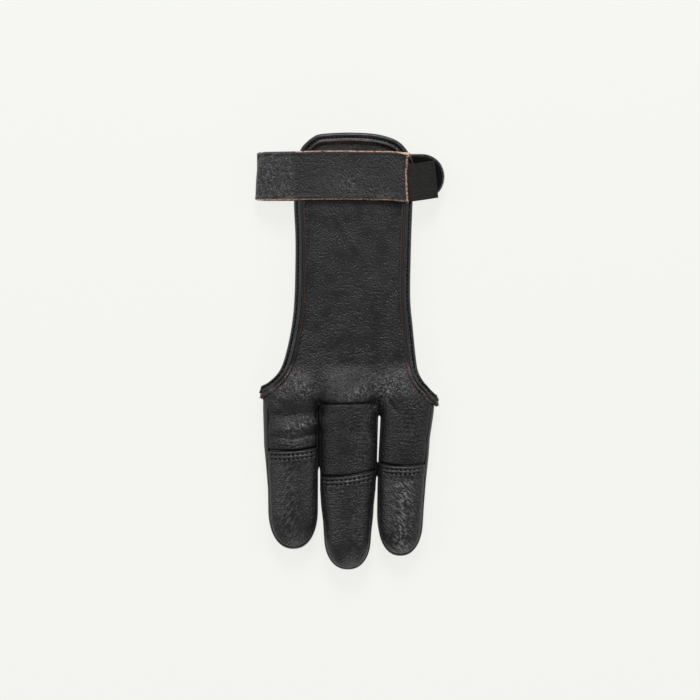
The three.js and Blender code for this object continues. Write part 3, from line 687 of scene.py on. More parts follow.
# For each slit, where the walls beside it lean together: start, stop, softness of both ends, and how much
LEANS = (
    ((-9, 36.5, 2, 3, 1),),
    ((-9, 10.5, 2, 3, 1), (34.2, 41.5, 1.5, 1.5, 1), (9, 60, 3, 12, 0.3)),
)


def lean(finger, u, side):
    """How far a finger's side wall bulges towards its neighbour, which it meets half way."""
    number = FINGERS.index(finger)
    if not 0 <= number + side < len(FINGERS):
        return np.zeros_like(u)
    gap = (FINGERS[number + side].side(u, -side) - finger.side(u, side)) * side
    touch = [
        strength * smooth((u - start) / rise) * (1 - smooth((u - stop) / fall))
        for start, stop, rise, fall, strength in LEANS[min(number, number + side)]
    ]
    return side * (gap * 0.56 + 0.15) * np.maximum.reduce(touch)


RIGHT_DIP = 3.8


def mouth_dip(x):
    """How much further down the mouth's edge lies at its right corner than at its left one."""
    return RIGHT_DIP * (1 - smooth((THIRD.side(0, 1) - x - 3) / 14))


def front_part(finger):
    """Palm side of a finger: rows from the mouth to the tip, columns from the right seam under to the left.

    The section is a superellipse, square-cornered at the mouth and rounder at the tip, whose sole is
    z = midline - depth (1 - q^p)^(1/p)."""
    k = np.linspace(0, 1, FRONT_ROWS)[:, None]
    turn = np.clip((k - FRONT_BEND) / (1 - FRONT_BEND), 0, 1) * (np.pi / 2)
    round_tip = finger.straight + finger.round * np.sin(turn)
    u = np.where(k < FRONT_BEND, finger.straight * k / FRONT_BEND, round_tip)
    c = np.linspace(0, 1, FRONT_COLUMNS)[None, :]
    u = u + mouth_dip(finger.side(u, np.cos(np.pi * c))) * (1 - smooth(u / 12))
    _, along, reach, left, right = section(finger, u)
    angle = mix(2 * np.pi + right, np.pi - left, c)
    v = reach * np.cos(angle)
    q = roundness_at(v, along)
    power = mix(SOLE_BASE, SOLE_TIP, smooth(u / finger.length))
    lift = LIFT * (1 - smooth((u - LIFT_LEVEL) / LIFT_RUN))
    under = (MIDLINE - lift) * np.clip(1 - q**power, 0, 1) ** (1 / power)
    height = np.where(np.sin(angle) >= 0, finger.top(q), MIDLINE - under)
    points = finger_point(finger, u, v, height)
    wall = np.where(np.sin(angle) < 0.2, np.abs(v) ** 10, 0) * hump(height - MIDLINE + 1.4, 2.6)
    points[..., 0] += wall * np.where(v > 0, lean(finger, u, 1), lean(finger, u, -1))
    sunk = seam_sink(np.minimum(c, 1 - c) * 40, 0.35, 0.4) * (reach > 0.02)
    points = push(points, sunk)
    points[-1] = finger.centre(u[-1, 0]), MOUTH_Y - u[-1, 0], MIDLINE
    at_mouth = (u < LIFT_LEVEL) & (points[..., 2] > LIFT + LEATHER)
    open_side = at_mouth & np.where(v > 0, finger is not THIRD, finger is not FIRST)
    return points, quads(FRONT_ROWS, FRONT_COLUMNS)[~open_side[:-1, :-1]], {}


# Binding: where its edge runs, in three dimensions, and which way its face looks.
BIND_STEPS = 1400
BIND_WIDTH = 5.5
BIND_RETURN = 4.4
SIDE_WIDTH = 3.8
CORNER_Z = 7.4
# Down the side of the mouth: inset from the side, height, and the direction that the face looks in.
SIDE_TURN = ((1.3, 5.2, 1, 0), (1.4, 3.6, 0.97, -0.25), (2.2, 2.2, 0.6, -0.8), (3.8, 1.8, 0, -1))
LEG_INNER = LEATHER / 2 + GAP
BIND_LEVEL = LEG_INNER + BINDING
# Width of the binding's upper side, by its height over the floor
WIDTH_AT_Z = ((1.6, BIND_RETURN), (2.6, SIDE_WIDTH), (6, SIDE_WIDTH), (9, BIND_WIDTH))


def side_turn(corner_x, side_x, sign, inset):
    """The binding's way down one side of the mouth: x, height, inward and outward direction."""
    corner = corner_x - inset * sign, CORNER_Z, (-0.6 * sign, -0.8, 0), (0.8 * sign, -0.1, 0.6)
    return [corner] + [
        (side_x - inset * sign, z, (-0.2 * sign, -0.98, 0), (sign * out_x, 0, out_z))
        for inset, z, out_x, out_z in SIDE_TURN
    ]


def bind_frames():
    """Closed line of the binding: places, tangents, inward and outward directions, lengths, share of the palm.

    On the back it follows the panel's outline, at each side it turns down round the finger, and on the palm
    side it crosses the mouth. The joins between these are eased by a Catmull-Rom curve."""
    keep = slice(80, EDGE_SAMPLES - 10, 12)
    edge, inward = EDGE[keep], EDGE_INWARD[keep]
    reach = edge + inward * BIND_WIDTH
    start = np.column_stack([edge, back_height(*edge.T) - LEATHER / 2])
    stop = np.column_stack([reach, back_height(*reach.T) + relief(*reach.T) - LEATHER / 2])
    back_in = unit(stop - start)
    back_out = unit(np.cross(back_in, np.gradient(start, axis=0)))
    right_x, left_x = THIRD.side(0, 1), FIRST.side(0, -1)
    rows = side_turn(RIGHT_CORNER_X, right_x, 1, 0.3)
    rows += [(x, LIFT + LEATHER / 2, (0, -1, 0), (0, 0, -1)) for x in np.linspace(right_x - 8, left_x + 8, 12)]
    rows += side_turn(LEFT_CORNER_X, left_x, -1, 1.0)[::-1]
    turns = [((x, MOUTH_Y + BINDING + GAP - mouth_dip(x), z), into, out) for x, z, into, out in rows]
    lines = []
    for back, turn in zip((start, back_in, back_out), zip(*turns)):
        column = np.concatenate([back, turn])
        ring = np.concatenate([column[-3:], column, column[:4]])
        fine, _ = spline(ring, (len(ring) - 1) * 20 + 1)
        lines.append(fine[60 : 60 + len(column) * 20 + 1])
    length = lengths_along(lines[0])
    even = np.linspace(0, length[-1], BIND_STEPS + 1)[:-1]
    place, into, out = [
        np.stack([np.interp(even, length, line[:, i]) for i in range(3)], 1) for line in lines
    ]
    tangent = unit(np.roll(place, -1, 0) - np.roll(place, 1, 0))
    into = unit(square_to(into, tangent))
    out = unit(square_to(square_to(out, into), tangent))
    return place, tangent, into, out, even, smooth(2.6 - place[:, 2])


def groove_at(y):
    """How far in from its edge the binding is stitched: further in at the wrist."""
    return mix(1.5, 2.5, smooth((y - 92) / 10))


def bind_face(across, groove, palm, sizes):
    """Height of the binding's outer face over the leather's middle, by the distance from its edge.

    A rolled edge, a stitched groove and a padded ridge that ends in the cut inner edge; flat on the palm."""
    past = across - groove
    shape = 2.0 * hump(past - 1.8, 0.3) - 1.9 * hump(past, 0.45) - 0.5 * smooth((past - 2.0) / 0.5)
    shape = shape - 1.6 * smooth((across - 4.9) / 0.6)
    return (BIND_LEVEL + shape * sizes.bind_relief * (1 - palm)) * rounded(across, 1.3)


def binding_part(sizes):
    """Folded edge binding: its section carried along the closed line of bind_frames."""
    place, tangent, into, out, even, palm = bind_frames()
    width = np.interp(place[:, 2], *zip(*WIDTH_AT_Z))[:, None]
    ones = np.ones_like(width)
    upper = width * np.concatenate([spread(1, 0, 34, 0.25), [0.0]])
    lower = BIND_RETURN * spread(0, 1, 8)[1:] * ones
    face = bind_face(upper, groove_at(place[:, 1:2]), palm[:, None], sizes)
    slot_in = BIND_RETURN * ones, BINDING * ones, BINDING * ones, width - 0.25
    slot_out = [level * ones for level in (-LEG_INNER, -LEG_INNER, LEG_INNER, LEG_INNER - 0.25)]
    a = np.concatenate([upper, lower, *slot_in], 1)
    b = np.concatenate([face, -BIND_LEVEL * rounded(lower, 1.2), *slot_out], 1)
    points = place[:, None] + into[:, None] * a[..., None] + out[:, None] * b[..., None]
    points[..., 2] = np.maximum(points[..., 2], 0)
    raw = np.zeros(a.shape)
    raw[:, [0, 1, 2, 3, -1]] = 1
    values = {"raw": raw, "run": even[:, None] * MM + 0 * a}
    return points, quads(*a.shape, wrap=True, wrap_rows=True), values


# Strap: places and heights of the stacked layers
STRAP_LEATHER = 1.3
ELASTIC = 1.1
STRAP_STEPS = 640
STRAP_Y = (STRAP_LOW[1] + STRAP_HIGH[1]) / 2
STRAP_HALF = (STRAP_HIGH[1] - STRAP_LOW[1]) / 2
STRAP_END_X = 29
FOLD_X = STRAP_LOW[0]
TAB_TIP_X = STRAP_HIGH[0]
RIDGE_TOP = PANEL_Z - LEATHER / 2 + LEG_INNER + BINDING + 0.25
STRAP_Z = RIDGE_TOP + GAP + STRAP_LEATHER / 2
ELASTIC_Z = RIDGE_TOP + GAP + ELASTIC / 2
OVER_Z = RIDGE_TOP + GAP + ELASTIC + GAP + STRAP_LEATHER / 2
SOLE_Z = STRAP_LEATHER / 2
TAB_Z = HOOK_LOW[2] - GAP - STRAP_LEATHER / 2
CLOSED_Z = HOOK_HIGH[2] + GAP + ELASTIC / 2
CLOSURE_X = HOOK_LOW[0] - 0.8
TAB_RUN = 29
TAB_HALF = 11.4
ELASTIC_ROOT_X = 23.5
ELASTIC_TIP_X = 42.9
ELASTIC_HALF = 9.3
ELASTIC_TURN = 9
ELASTIC_DROP = 2.2
RAW_EDGE = 0.65
FOLD_DROP = 2.0


def edge_spread(count, fine, band):
    """Places from -1 to 1, with fine steps in the band next to each border."""
    outer = np.linspace(0, band, fine + 1)[:-1]
    return np.concatenate([outer - 1, np.linspace(band - 1, 1 - band, count), (1 - outer)[::-1]])


def slab(middle, up, top, bottom, values):
    """A flat piece from the grid of its middle face: its upper and lower faces at their own distances along
    up, which meet at the border, where both are equal."""
    faces = quads(*top.shape)
    upper, lower = middle + up * top[..., None], middle + up * bottom[..., None]
    return join((upper, faces, values), (lower, faces[..., ::-1], values))


def strap_path(count):
    """x and z of the strap's middle face, and how far along it they lie.

    It goes over the back from its raw end, round the fold at the left, back on the floor and up to the tab."""
    radius = (STRAP_Z - FOLD_DROP - SOLE_Z) / 2
    fold_x = FOLD_X + STRAP_LEATHER / 2 + radius
    turn = np.linspace(np.pi / 2, 3 * np.pi / 2, 13)
    t = np.linspace(0, 1, 12)
    x = [STRAP_END_X, 27, 22.5, 17.5, 12, 7, 0, -8, -20, -27, -31, -36, *(fold_x + radius * np.cos(turn))]
    z = [mix(STRAP_Z, OVER_Z, share) for share in (1, 1, 0.93, 0.5, 0.08, 0, 0, 0, 0)]
    z += [STRAP_Z - FOLD_DROP * share for share in (0.05, 0.35, 0.7)]
    z += [*(SOLE_Z + radius + radius * np.sin(turn)), *[SOLE_Z] * 4]
    x += [-32, -20, -8, 0, *mix(CLOSURE_X - TAB_RUN, CLOSURE_X, t)]
    z += [*mix(SOLE_Z, TAB_Z, smooth(t)), *[TAB_Z] * 3]
    x += [TAB_TIP_X - TAB_HALF, TAB_TIP_X - 6, TAB_TIP_X]
    line, _ = spline(np.column_stack([x, z]), 6000)
    length = lengths_along(line)
    even = np.linspace(0, length[-1], count)
    return np.interp(even, length, line[:, 0]), np.interp(even, length, line[:, 1]), even


# Edges of the strap on the face, by x: how far its upper and lower edges lie from its middle line.
FACE_X = (-47, -44, -27, -15, 0, 20, 27.5, 29)
FACE_TOP = (12.0, 12.3, 12.45, 12.8, 12.8, 12.4, 11.7, 11.4)
FACE_BOTTOM = (12.0, 12.0, 12.0, 11.8, 11.8, 12.2, 13.0, 13.5)


def strap_part():
    """Wrist strap: a band along strap_path, its cut borders sloped so that the raw edge shows from above."""
    x, z, run = strap_path(STRAP_STEPS)
    tangent = unit(np.column_stack([np.gradient(x), np.gradient(z)]))
    up = np.stack([tangent[:, 1], 0 * x, -tangent[:, 0]], 1)[:, None]
    face = (np.arange(STRAP_STEPS) < np.argmin(x))[:, None]
    x, z, run = x[:, None], z[:, None], run[:, None]
    to_tab = np.where(face, 0, smooth((x - 14) / 16))
    top, bottom = [
        mix(np.where(face, np.interp(x, FACE_X, reach), under), TAB_HALF, to_tab)
        for reach, under in ((FACE_TOP, 12.5), (FACE_BOTTOM, 11.8))
    ]
    tab_x = TAB_TIP_X - TAB_HALF
    past = np.where(face, 0, np.clip((x - tab_x) / TAB_HALF, 0, 1))
    w = edge_spread(50, 6, 0.09)
    half = np.where(w > 0, top, bottom) * np.sqrt(1 - past**2)
    side = w * half
    end_bulge = 0.55 * np.cos(w * 2.0) - 0.75 * smooth((w - 0.7) / 0.3) + 0.25
    px = x - end_bulge * smooth(1 - run / 9)
    points = np.stack([px, STRAP_Y + side, z + 0 * side], -1)
    border = np.where(past > 0, TAB_HALF - np.hypot(px - tab_x, side), half - np.abs(side))
    border = np.minimum(np.clip(border, 0, None), np.minimum(run, run[-1] - run))
    corner = hump(np.hypot(run - 1.5, (1 - w) * 12), 3.2) * face
    edge = RAW_EDGE * (1 + 0.9 * corner + 0.7 * smooth(1.5 - run) * face)
    cut = np.clip(border / edge, 0, 1)
    low = STRAP_LEATHER * (to_tab - 0.5)
    left = smooth((-26.5 - px) / 3) * face
    upper = low + (STRAP_LEATHER / 2 - low) * cut + 0.16 * hump(border - 1.4, 0.6) * face
    upper = upper - 0.5 * left * hump(top - side - 2.2, 0.45) + 0.35 * left * hump(side, 9)
    lower = low - (STRAP_LEATHER / 2 + low) * cut
    wave = 0.12 * np.sin(run / 3.1 + 2 * w) * np.sin(run / 7.3)
    sag = (wave + 0.9 * corner - 0.06 * side * left) * face
    hidden = (w > 0) & face & (px < -27.5) & (run > 3)
    at_tip = 0.7 * (border < 0.42) * smooth((6.5 - np.abs(side)) / 2)
    raw = np.where(to_tab > 0.5, at_tip, (border < edge * 0.98) & ~hidden)
    # Creases with a painted highlight: a sheen over the strap's left part and on two patches of its face
    rubbed = 0.35 * hump(np.hypot((px + 2) / 2, side + 3), 6)
    rubbed = rubbed + 0.4 * hump(np.hypot((px - 17) / 1.5, side + 9), 4)
    values = {"raw": raw, "worn": 0.5 * left + rubbed * face}
    return slab(points + up * sag[..., None], up, upper, lower, values)


def elastic_part(sizes):
    """Woven elastic: a band that leaves the strap, falls over the panel's edge and lies on the hook tape.

    It is ribbed along its length, has a thin selvedge and ends in a turned hem."""
    edge_x = PANEL_X + PANEL_WIDTH / 2 + 1.6
    x = np.linspace(ELASTIC_ROOT_X, ELASTIC_TIP_X, 200)[:, None]
    z = mix(ELASTIC_Z, CLOSED_Z, smooth((x - edge_x + 3) / (CLOSURE_X - edge_x + 5)))
    side = edge_spread(90, 4, 0.05) * ELASTIC_HALF
    pivot = (edge_x + ELASTIC_TIP_X) / 2
    px, py = turned(x - pivot + 0.05 * side, side, -ELASTIC_TURN)
    points = np.stack([pivot + px, STRAP_Y - ELASTIC_DROP + py, z + 0 * side], -1)
    up = normals_of(points)
    up = up * np.sign(up[..., 2:3])
    to_end = ELASTIC_TIP_X - x
    border = np.minimum(ELASTIC_HALF - np.abs(side), np.minimum(to_end, x - ELASTIC_ROOT_X))
    body = rounded(border, 0.5)
    rib = 0.05 * np.cos(2 * np.pi * side / sizes.rib)
    hem = 0.3 * smooth((1.6 - to_end) / 0.5) - 0.15 * hump(to_end - 2.2, 0.35)
    values = {"run": x * MM + 0 * side, "side": side * MM + 0 * x}
    return flip_if_down(slab(points, up, (ELASTIC / 2 + rib + hem) * body, -ELASTIC / 2 * body, values))


def flip_if_down(part):
    """Turns the winding round if the first face, of the upper side, looks down."""
    points, faces, values = part
    a, b, c = points[faces[len(faces) // 4][:3]]
    return (points, faces[:, ::-1], values) if np.cross(b - a, c - b)[2] < 0 else part


HOOK_BASE = 0.55
HOOK_MARGIN = 0.6
HOOK_Y = (HOOK_LOW[1] + HOOK_HIGH[1]) / 2
HOOK_RADIUS = (HOOK_HIGH[1] - HOOK_LOW[1]) / 2
HOOK_CENTRE_X = HOOK_HIGH[0] - HOOK_RADIUS
# Rings and sides of each hook and each stitch
RINGS = 7
SIDES = 6
RING = np.linspace(0, 2 * np.pi, SIDES + 1)[:-1]


# The tape runs on under the elastic to the left of its pad in the frame.
HOOK_START = HOOK_LOW[0] - 11


def tab_drop(x):
    """How far the tab's leather lies below its end, on its rise from the floor."""
    rise = smooth((x - CLOSURE_X + TAB_RUN) / TAB_RUN)
    return (SOLE_Z - TAB_Z) * (1 - rise)


def tube_faces(count):
    """Faces of a number of tubes, each of RINGS rings with SIDES sides."""
    one = quads(RINGS, SIDES, wrap=True).reshape(-1, 4)[:, ::-1]
    return one[None] + (np.arange(count) * RINGS * SIDES)[:, None, None]


def hook_part(sizes):
    """Hook tape: a thin sewn-down base with a round end, crowded with small bent hooks on a staggered grid."""
    turn = spread(0, np.pi / 2, 40)[1:, None]
    straight = np.linspace(HOOK_START, HOOK_CENTRE_X, 16)[:, None]
    x = np.concatenate([straight, HOOK_CENTRE_X + HOOK_RADIUS * np.sin(turn)])
    half = np.concatenate([HOOK_RADIUS + 0 * straight, HOOK_RADIUS * np.cos(turn)])
    x, y = np.broadcast_arrays(x, edge_spread(40, 4, 0.06) * half)
    round_border = HOOK_RADIUS - np.hypot(np.maximum(0, x - HOOK_CENTRE_X), y)
    border = np.minimum(np.clip(round_border, 0, None), x - HOOK_START)
    points = np.stack([x, HOOK_Y + y, HOOK_LOW[2] + tab_drop(x)], -1)
    base = flip_if_down(slab(points, np.array([0, 0, 1]), HOOK_BASE * rounded(border, 0.4), 0 * border, {}))

    row = np.arange(40)
    step = row * sizes.hook_pitch
    hx, hy = np.meshgrid(HOOK_START + HOOK_MARGIN + step, HOOK_LOW[1] + HOOK_MARGIN + step * 0.9)
    hx = hx + row[:, None] % 2 * sizes.hook_pitch / 2
    out = np.hypot(np.maximum(0, hx - HOOK_CENTRE_X), hy - HOOK_Y)
    spots = np.stack([hx, hy], -1)[(out < HOOK_RADIUS - HOOK_MARGIN) & (hx < HOOK_HIGH[0] - HOOK_MARGIN)]
    height = HOOK_HIGH[2] - HOOK_LOW[2] - HOOK_BASE - 0.08
    s = np.linspace(0, 1, RINGS - 1)[:, None]
    bend = np.pi * 0.9 * smooth(s)
    line_x = 0.22 * (1 - np.cos(bend))
    line_z = height * np.sin(np.minimum(bend, np.pi / 2)) - 0.12 * np.maximum(0, bend - np.pi / 2)
    thick = 0.1 * (1 - 0.45 * s)
    hook = np.stack([line_x + thick * np.cos(RING), thick * np.sin(RING), line_z + 0 * RING], -1)
    tip = hook[-1:].mean(1, keepdims=True) + 0 * hook[-1:]
    hook = np.concatenate([hook, tip])
    sign = np.where(np.arange(len(spots)) % 2, 1.0, -1.0)
    facing = np.stack([sign, sign, np.ones(len(spots))], 1)[:, None, None]
    feet = np.column_stack([spots, HOOK_LOW[2] + HOOK_BASE - 0.05 + tab_drop(spots[:, 0])])[:, None, None]
    return join(base, (feet + hook * facing, tube_faces(len(spots)), {}))


def thread(places, along, out, length, thick, arch):
    """Stitches as one mesh: at each place a short spindle of thread, bowed out by arch.

    At s from -1 to 1 along it, its middle is at out = arch (1 - s^2), its radius thick (1 - s^4)^0.5."""
    s = np.linspace(-1, 1, RINGS)[:, None]
    radius = thick * np.sqrt(1 - s**4)
    steps = s * length / 2 + 0 * RING, radius * np.cos(RING), radius * np.sin(RING) + arch * (1 - s**2)
    axes = along, np.cross(along, out), out
    moves = [step[..., None] * axis[:, None, None] for step, axis in zip(steps, axes)]
    return places[:, None, None] + sum(moves), tube_faces(len(places)), {}


def binding_stitches(sizes):
    """Thread in the binding's groove, one stitch for each pitch of the closed line, on the upper side alone."""
    place, tangent, into, out, even, palm = bind_frames()
    count = int((even[-1] + even[1]) / sizes.bind_pitch)
    pick = (np.arange(count) * (BIND_STEPS / count)).astype(int)
    pick = pick[palm[pick] < 0.5]
    groove = groove_at(place[pick, 1])
    depth = bind_face(groove, groove, palm[pick], sizes) - 0.02
    spots = place[pick] + into[pick] * groove[:, None] + out[pick] * depth[:, None]
    return thread(spots, tangent[pick], out[pick], sizes.bind_pitch * 0.72, sizes.thread / 2, 0.14)


def tip_stitches(finger, sizes):
    """Two rows of topstitching across the head of a tip cover."""
    parts = []
    count = int(finger.half(finger.seam) * 0.86 / sizes.stitch_pitch)
    offset = (np.arange(-count, count) + 0.5) * sizes.stitch_pitch
    for row in STITCH_ROWS:
        u = finger.seam + row
        base, ahead = [
            on_cover(finger, finger.centre(u) + step, finger.seam_y(step / finger.half(u)) - row - SEAM_GAP)
            for step in (offset, offset + 0.02)
        ]
        along = unit(ahead - base)
        out = unit(np.cross(along, (0, 1, 0)))
        out = out * np.sign(out[:, 2:3])
        spots = base + out * (puff(row, sizes) - 0.14)
        parts.append(thread(spots, along, out, sizes.stitch_pitch * 0.66, sizes.thread / 2, 0.1))
    return join(*parts)


def on_cover(finger, x, y):
    """Points of a finger's dome."""
    return np.stack([x, y, finger.top(finger.roundness(x, y))], 1)


# Materials


def add(tree, kind, links=None, **settings):
    """Adds a node; settings are its own properties, or numbers for its sockets, and links its inputs."""
    made = tree.nodes.new(kind)
    for key, value in settings.items():
        name = key.replace("_", " ")
        if hasattr(made, key):
            setattr(made, key, value)
        else:
            made.inputs[name].default_value = value
    for key, source in (links or {}).items():
        tree.links.new(source, made.inputs[key])
    return made


def start_material(name, specular, roughness=0.5):
    """An empty node material, with its Object coordinates, its surface shader and the output."""
    material = bpy.data.materials.new(name)
    material.use_nodes = True
    tree = material.node_tree
    tree.nodes.clear()
    place = add(tree, "ShaderNodeTexCoord").outputs["Object"]
    surface = add(tree, "ShaderNodeBsdfPrincipled", Specular_IOR_Level=specular, Roughness=roughness)
    add(tree, "ShaderNodeOutputMaterial", {"Surface": surface.outputs["BSDF"]})
    return material, tree, place, surface


def product(tree, a, b, more=None):
    """Output of a x b + more, where b is a socket or a number."""
    links = {0: a} if more is None else {0: a, 2: more}
    made = add(tree, "ShaderNodeMath", links, operation="MULTIPLY" if more is None else "MULTIPLY_ADD")
    if isinstance(b, (int, float)):
        made.inputs[1].default_value = b
    else:
        tree.links.new(b, made.inputs[1])
    return made.outputs[0]


def per_mm(size):
    """Scale of a texture whose repeat has this size in millimetres."""
    return 1 / (size * MM)


def noise(tree, place, size, detail=2.0, **settings):
    """Socket of a noise whose grains have this size in millimetres."""
    links = {"Vector": place}
    return add(tree, "ShaderNodeTexNoise", links, Scale=per_mm(size), Detail=detail, **settings).outputs["Fac"]


def value_of(tree, name):
    """Socket of one of the piece's own values."""
    return add(tree, "ShaderNodeAttribute", attribute_name=name).outputs["Fac"]


def wave(tree, name, size):
    """Socket of sin(2 pi value/size) of one of the piece's own values, with the size in millimetres."""
    turn = product(tree, value_of(tree, name), 2 * math.pi * per_mm(size))
    return add(tree, "ShaderNodeMath", {0: turn}, operation="SINE").outputs[0]


def ramp(tree, value, low, high, start=0.0, stop=1.0):
    """Socket that goes straight from start to stop while the value goes from low to high."""
    ends = {"From_Min": low, "From_Max": high, "To_Min": start, "To_Max": stop}
    return add(tree, "ShaderNodeMapRange", {"Value": value}, **ends).outputs[0]


def blend(tree, factor, *colours):
    """Colour socket that goes from the first to the second of two sockets or colours."""
    made = add(tree, "ShaderNodeMix", {"Factor": factor}, data_type="RGBA")
    for key, colour in zip("AB", colours):
        if isinstance(colour, bpy.types.NodeSocket):
            tree.links.new(colour, made.inputs[key])
        else:
            made.inputs[key].default_value = (*colour, 1)
    return made.outputs["Result"]


def shades(tree, factor, colour, dark, light):
    """Colour socket that goes from a darker to a lighter shade of one colour, given as multiples of it."""
    return blend(tree, factor, np.array(colour) * dark, np.array(colour) * light)


def raise_surface(tree, surface, height, distance, strength=1.0):
    """Bumps the surface by a height times a distance in millimetres."""
    bump = add(tree, "ShaderNodeBump", {"Height": height}, Strength=strength, Distance=distance * MM)
    tree.links.new(bump.outputs[0], surface.inputs["Normal"])


def leather(name, colour, pebble=0.9, depth=0.3, roughness=0.5, specular=0.5, lines=0.0, raw=None, dots=0.0):
    """Drum-dyed full-grain leather: a grain of small domed cells, creases with a painted highlight, uneven dye.

    pebble is the width of a grain cell and depth its relief, in millimetres. The piece's value of creases and
    sheen, from 0 to
    1, brings out the creases, makes them glossier and paints a grey highlight on their raised tops. lines is
    the depth of the fine parallel creases of hide stretched over padding, which run along its flow value and
    lie side by side along its cross value. raw is the cut edge's colour."""
    material, tree, place, surface = start_material(name, specular)
    cells = add(tree, "ShaderNodeTexVoronoi", {"Vector": place}, feature="F1", Scale=per_mm(pebble))
    domes = product(tree, cells.outputs["Distance"], cells.outputs["Distance"])
    broad = noise(tree, place, 9, 3.0, Roughness=0.6)
    height = product(tree, domes, ramp(tree, broad, 0.35, 0.65, -0.45, -1.1))
    height = product(tree, noise(tree, place, 0.8, Roughness=0.6), 0.35, height)
    worn = value_of(tree, "worn")
    marks = noise(tree, place, 1.3, Roughness=0.55, Distortion=1.0)
    height = product(tree, product(tree, marks, worn), CRUMPLE, height)
    if lines:
        spot = add(tree, "ShaderNodeCombineXYZ", {0: value_of(tree, "cross"), 1: value_of(tree, "flow")})
        stretch = add(tree, "ShaderNodeMapping", {"Vector": spot.outputs[0]}, Scale=(1, 0.3, 1))
        marks = noise(tree, stretch.outputs[0], 1.0, 1.0, Distortion=0.1)
        height = product(tree, marks, lines, height)
    raise_surface(tree, surface, height, depth)
    # Painted highlight: where creased, the raised tops of the marks take a light grey in the base colour
    rubbed = product(tree, worn, ramp(tree, marks, 0.5, 0.6))
    shade = blend(tree, rubbed, shades(tree, broad, colour, 0.75, 1.3), (SHEEN_GREY, SHEEN_GREY, SHEEN_GREY))
    if raw is not None:
        shade = raw_edge(tree, place, shade, raw, dots)
    tree.links.new(shade, surface.inputs["Base Color"])
    rough = ramp(tree, broad, 0, 1, roughness - 0.07, roughness + 0.08)
    tree.links.new(product(tree, worn, -0.1, rough), surface.inputs["Roughness"])
    return material


def raw_edge(tree, place, shade, colour, dots):
    """Mixes in the fibrous cut edge where the piece's raw value is 1, broken where dye has run over it.

    With dots, in millimetres, it shows only between the stitches: where sin(2 pi run/dots) is high."""
    fibres = noise(tree, place, 1.1, 3.0, Roughness=0.7)
    amount = product(tree, value_of(tree, "raw"), ramp(tree, fibres, 0.42, 0.5))
    if dots:
        amount = product(tree, amount, ramp(tree, wave(tree, "run", dots), -0.5, 0.5))
    return blend(tree, amount, shade, shades(tree, fibres, colour, 0.4, 1.4))


def woven(name, colour, rib, pick):
    """Woven polyester elastic: warp ribs along it and picks across, matt, with a dusty green-black tone.

    The weave is drawn about twice as coarse as the real one, which would be too fine to see."""
    material, tree, place, surface = start_material(name, 0.25, 0.9)
    crossing = product(tree, wave(tree, "side", rib), wave(tree, "run", pick))
    weave = product(tree, crossing, 0.3, noise(tree, place, 1.6, 4.0))
    raise_surface(tree, surface, weave, 0.25)
    tree.links.new(shades(tree, weave, colour, 0.25, 1.75), surface.inputs["Base Color"])
    return material


def plain_fibre(name, colour, roughness, size):
    """Matt fibres of nylon, or of a hide's napped flesh side: one dark dye, broken up by the fibres."""
    material, tree, place, surface = start_material(name, 0.08, roughness)
    fibres = noise(tree, place, size)
    raise_surface(tree, surface, fibres, 0.05, 0.6)
    tree.links.new(shades(tree, fibres, colour, 0.5, 1.5), surface.inputs["Base Color"])
    return material


# Relief of the creases, as a multiple of the grain's, and the grey painted on their raised tops as a highlight
CRUMPLE = 2.6
SHEEN_GREY = 0.12


# How each finish is made, with the names of the colours that it takes.
FINISHES = {
    # Pebbled full-grain hide of the back: fine cells that catch small highlights
    "full_grain_back_leather": (
        leather, {"colour": "back", "pebble": 0.9, "depth": 0.35, "roughness": 0.42, "specular": 0.36}
    ),
    # Smoother hide of the tips, stretched over padding, with diagonal creases
    "stretched_tip_leather": (
        leather, {"colour": "tips", "pebble": 0.9, "depth": 0.22, "roughness": 0.42, "lines": 1.2}
    ),
    # Palm side hide, the same dye with a finer grain
    "palm_leather": (leather, {"colour": "tips", "pebble": 0.9, "depth": 0.2, "roughness": 0.5}),
    # Flesh side of the hide, napped and without gloss
    "suede_flesh_side": (plain_fibre, {"colour": "flesh", "roughness": 0.9, "size": 0.6}),
    # Thin skived binding hide, smooth and a little glossier, with its rust-brown cut edge
    "skived_binding_leather": (
        leather,
        {"colour": "binding", "raw": "rust", "dots": 1.7, "pebble": 0.8, "depth": 0.14, "roughness": 0.37},
    ),
    # Strap hide, drier and greyer, with its raw tan edge
    "raw_edged_strap_leather": (
        leather,
        {
            "colour": "strap", "raw": "raw_edge",
            "pebble": 0.95, "depth": 0.45, "roughness": 0.44, "specular": 0.36,
        },
    ),
    # Bonded thread, dark with a faint sheen along each stitch
    "bonded_nylon_thread": (plain_fibre, {"colour": "thread", "roughness": 0.85, "size": 0.4}),
    # Hook tape, a deep black that gives back almost no light
    "nylon_hook_tape": (plain_fibre, {"colour": "hooks", "roughness": 0.6, "size": 0.6}),
    # Elastic, matt and ribbed
    "woven_elastic": (woven, {"colour": "elastic", "pick": 1.5}),
}


def finishes(colours, *names, **sizes):
    """The materials of those names, each made the first time that it is asked for."""
    for name in names:
        if name not in bpy.data.materials:
            make, settings = FINISHES[name]
            picked = {key: getattr(colours, v) if isinstance(v, str) else v for key, v in settings.items()}
            make(name, **picked, **sizes)
    return [bpy.data.materials[name] for name in names]


def length_of(name, description, default):
    """A length property with its default in millimetres."""
    return FloatProperty(name=name, description=description, default=default * MM, unit="LENGTH")


class GloveSizes(PropertyGroup):
    """Sizes of the glove's detail that may be changed; the forms themselves follow the frame."""

    wall: length_of("Leather", "Wall of the leather", LEATHER)
    groove: length_of("Seam depth", "Depth of the turned seams", 0.9)
    stitch_pitch: length_of("Topstitch", "Pitch of the rows on the tips", 2.2)
    bind_pitch: length_of("Binding stitch", "Pitch in the binding's groove", 2.1)
    thread: length_of("Thread", "Thickness of the thread", 0.6)
    bind_relief: length_of("Binding relief", "Rise of its padded ridge", 0.36)
    rib: length_of("Elastic rib", "Spacing of the elastic's ribs", 1.7)
    hook_pitch: length_of("Hooks", "Spacing of the hooks on the tape", 1.0)


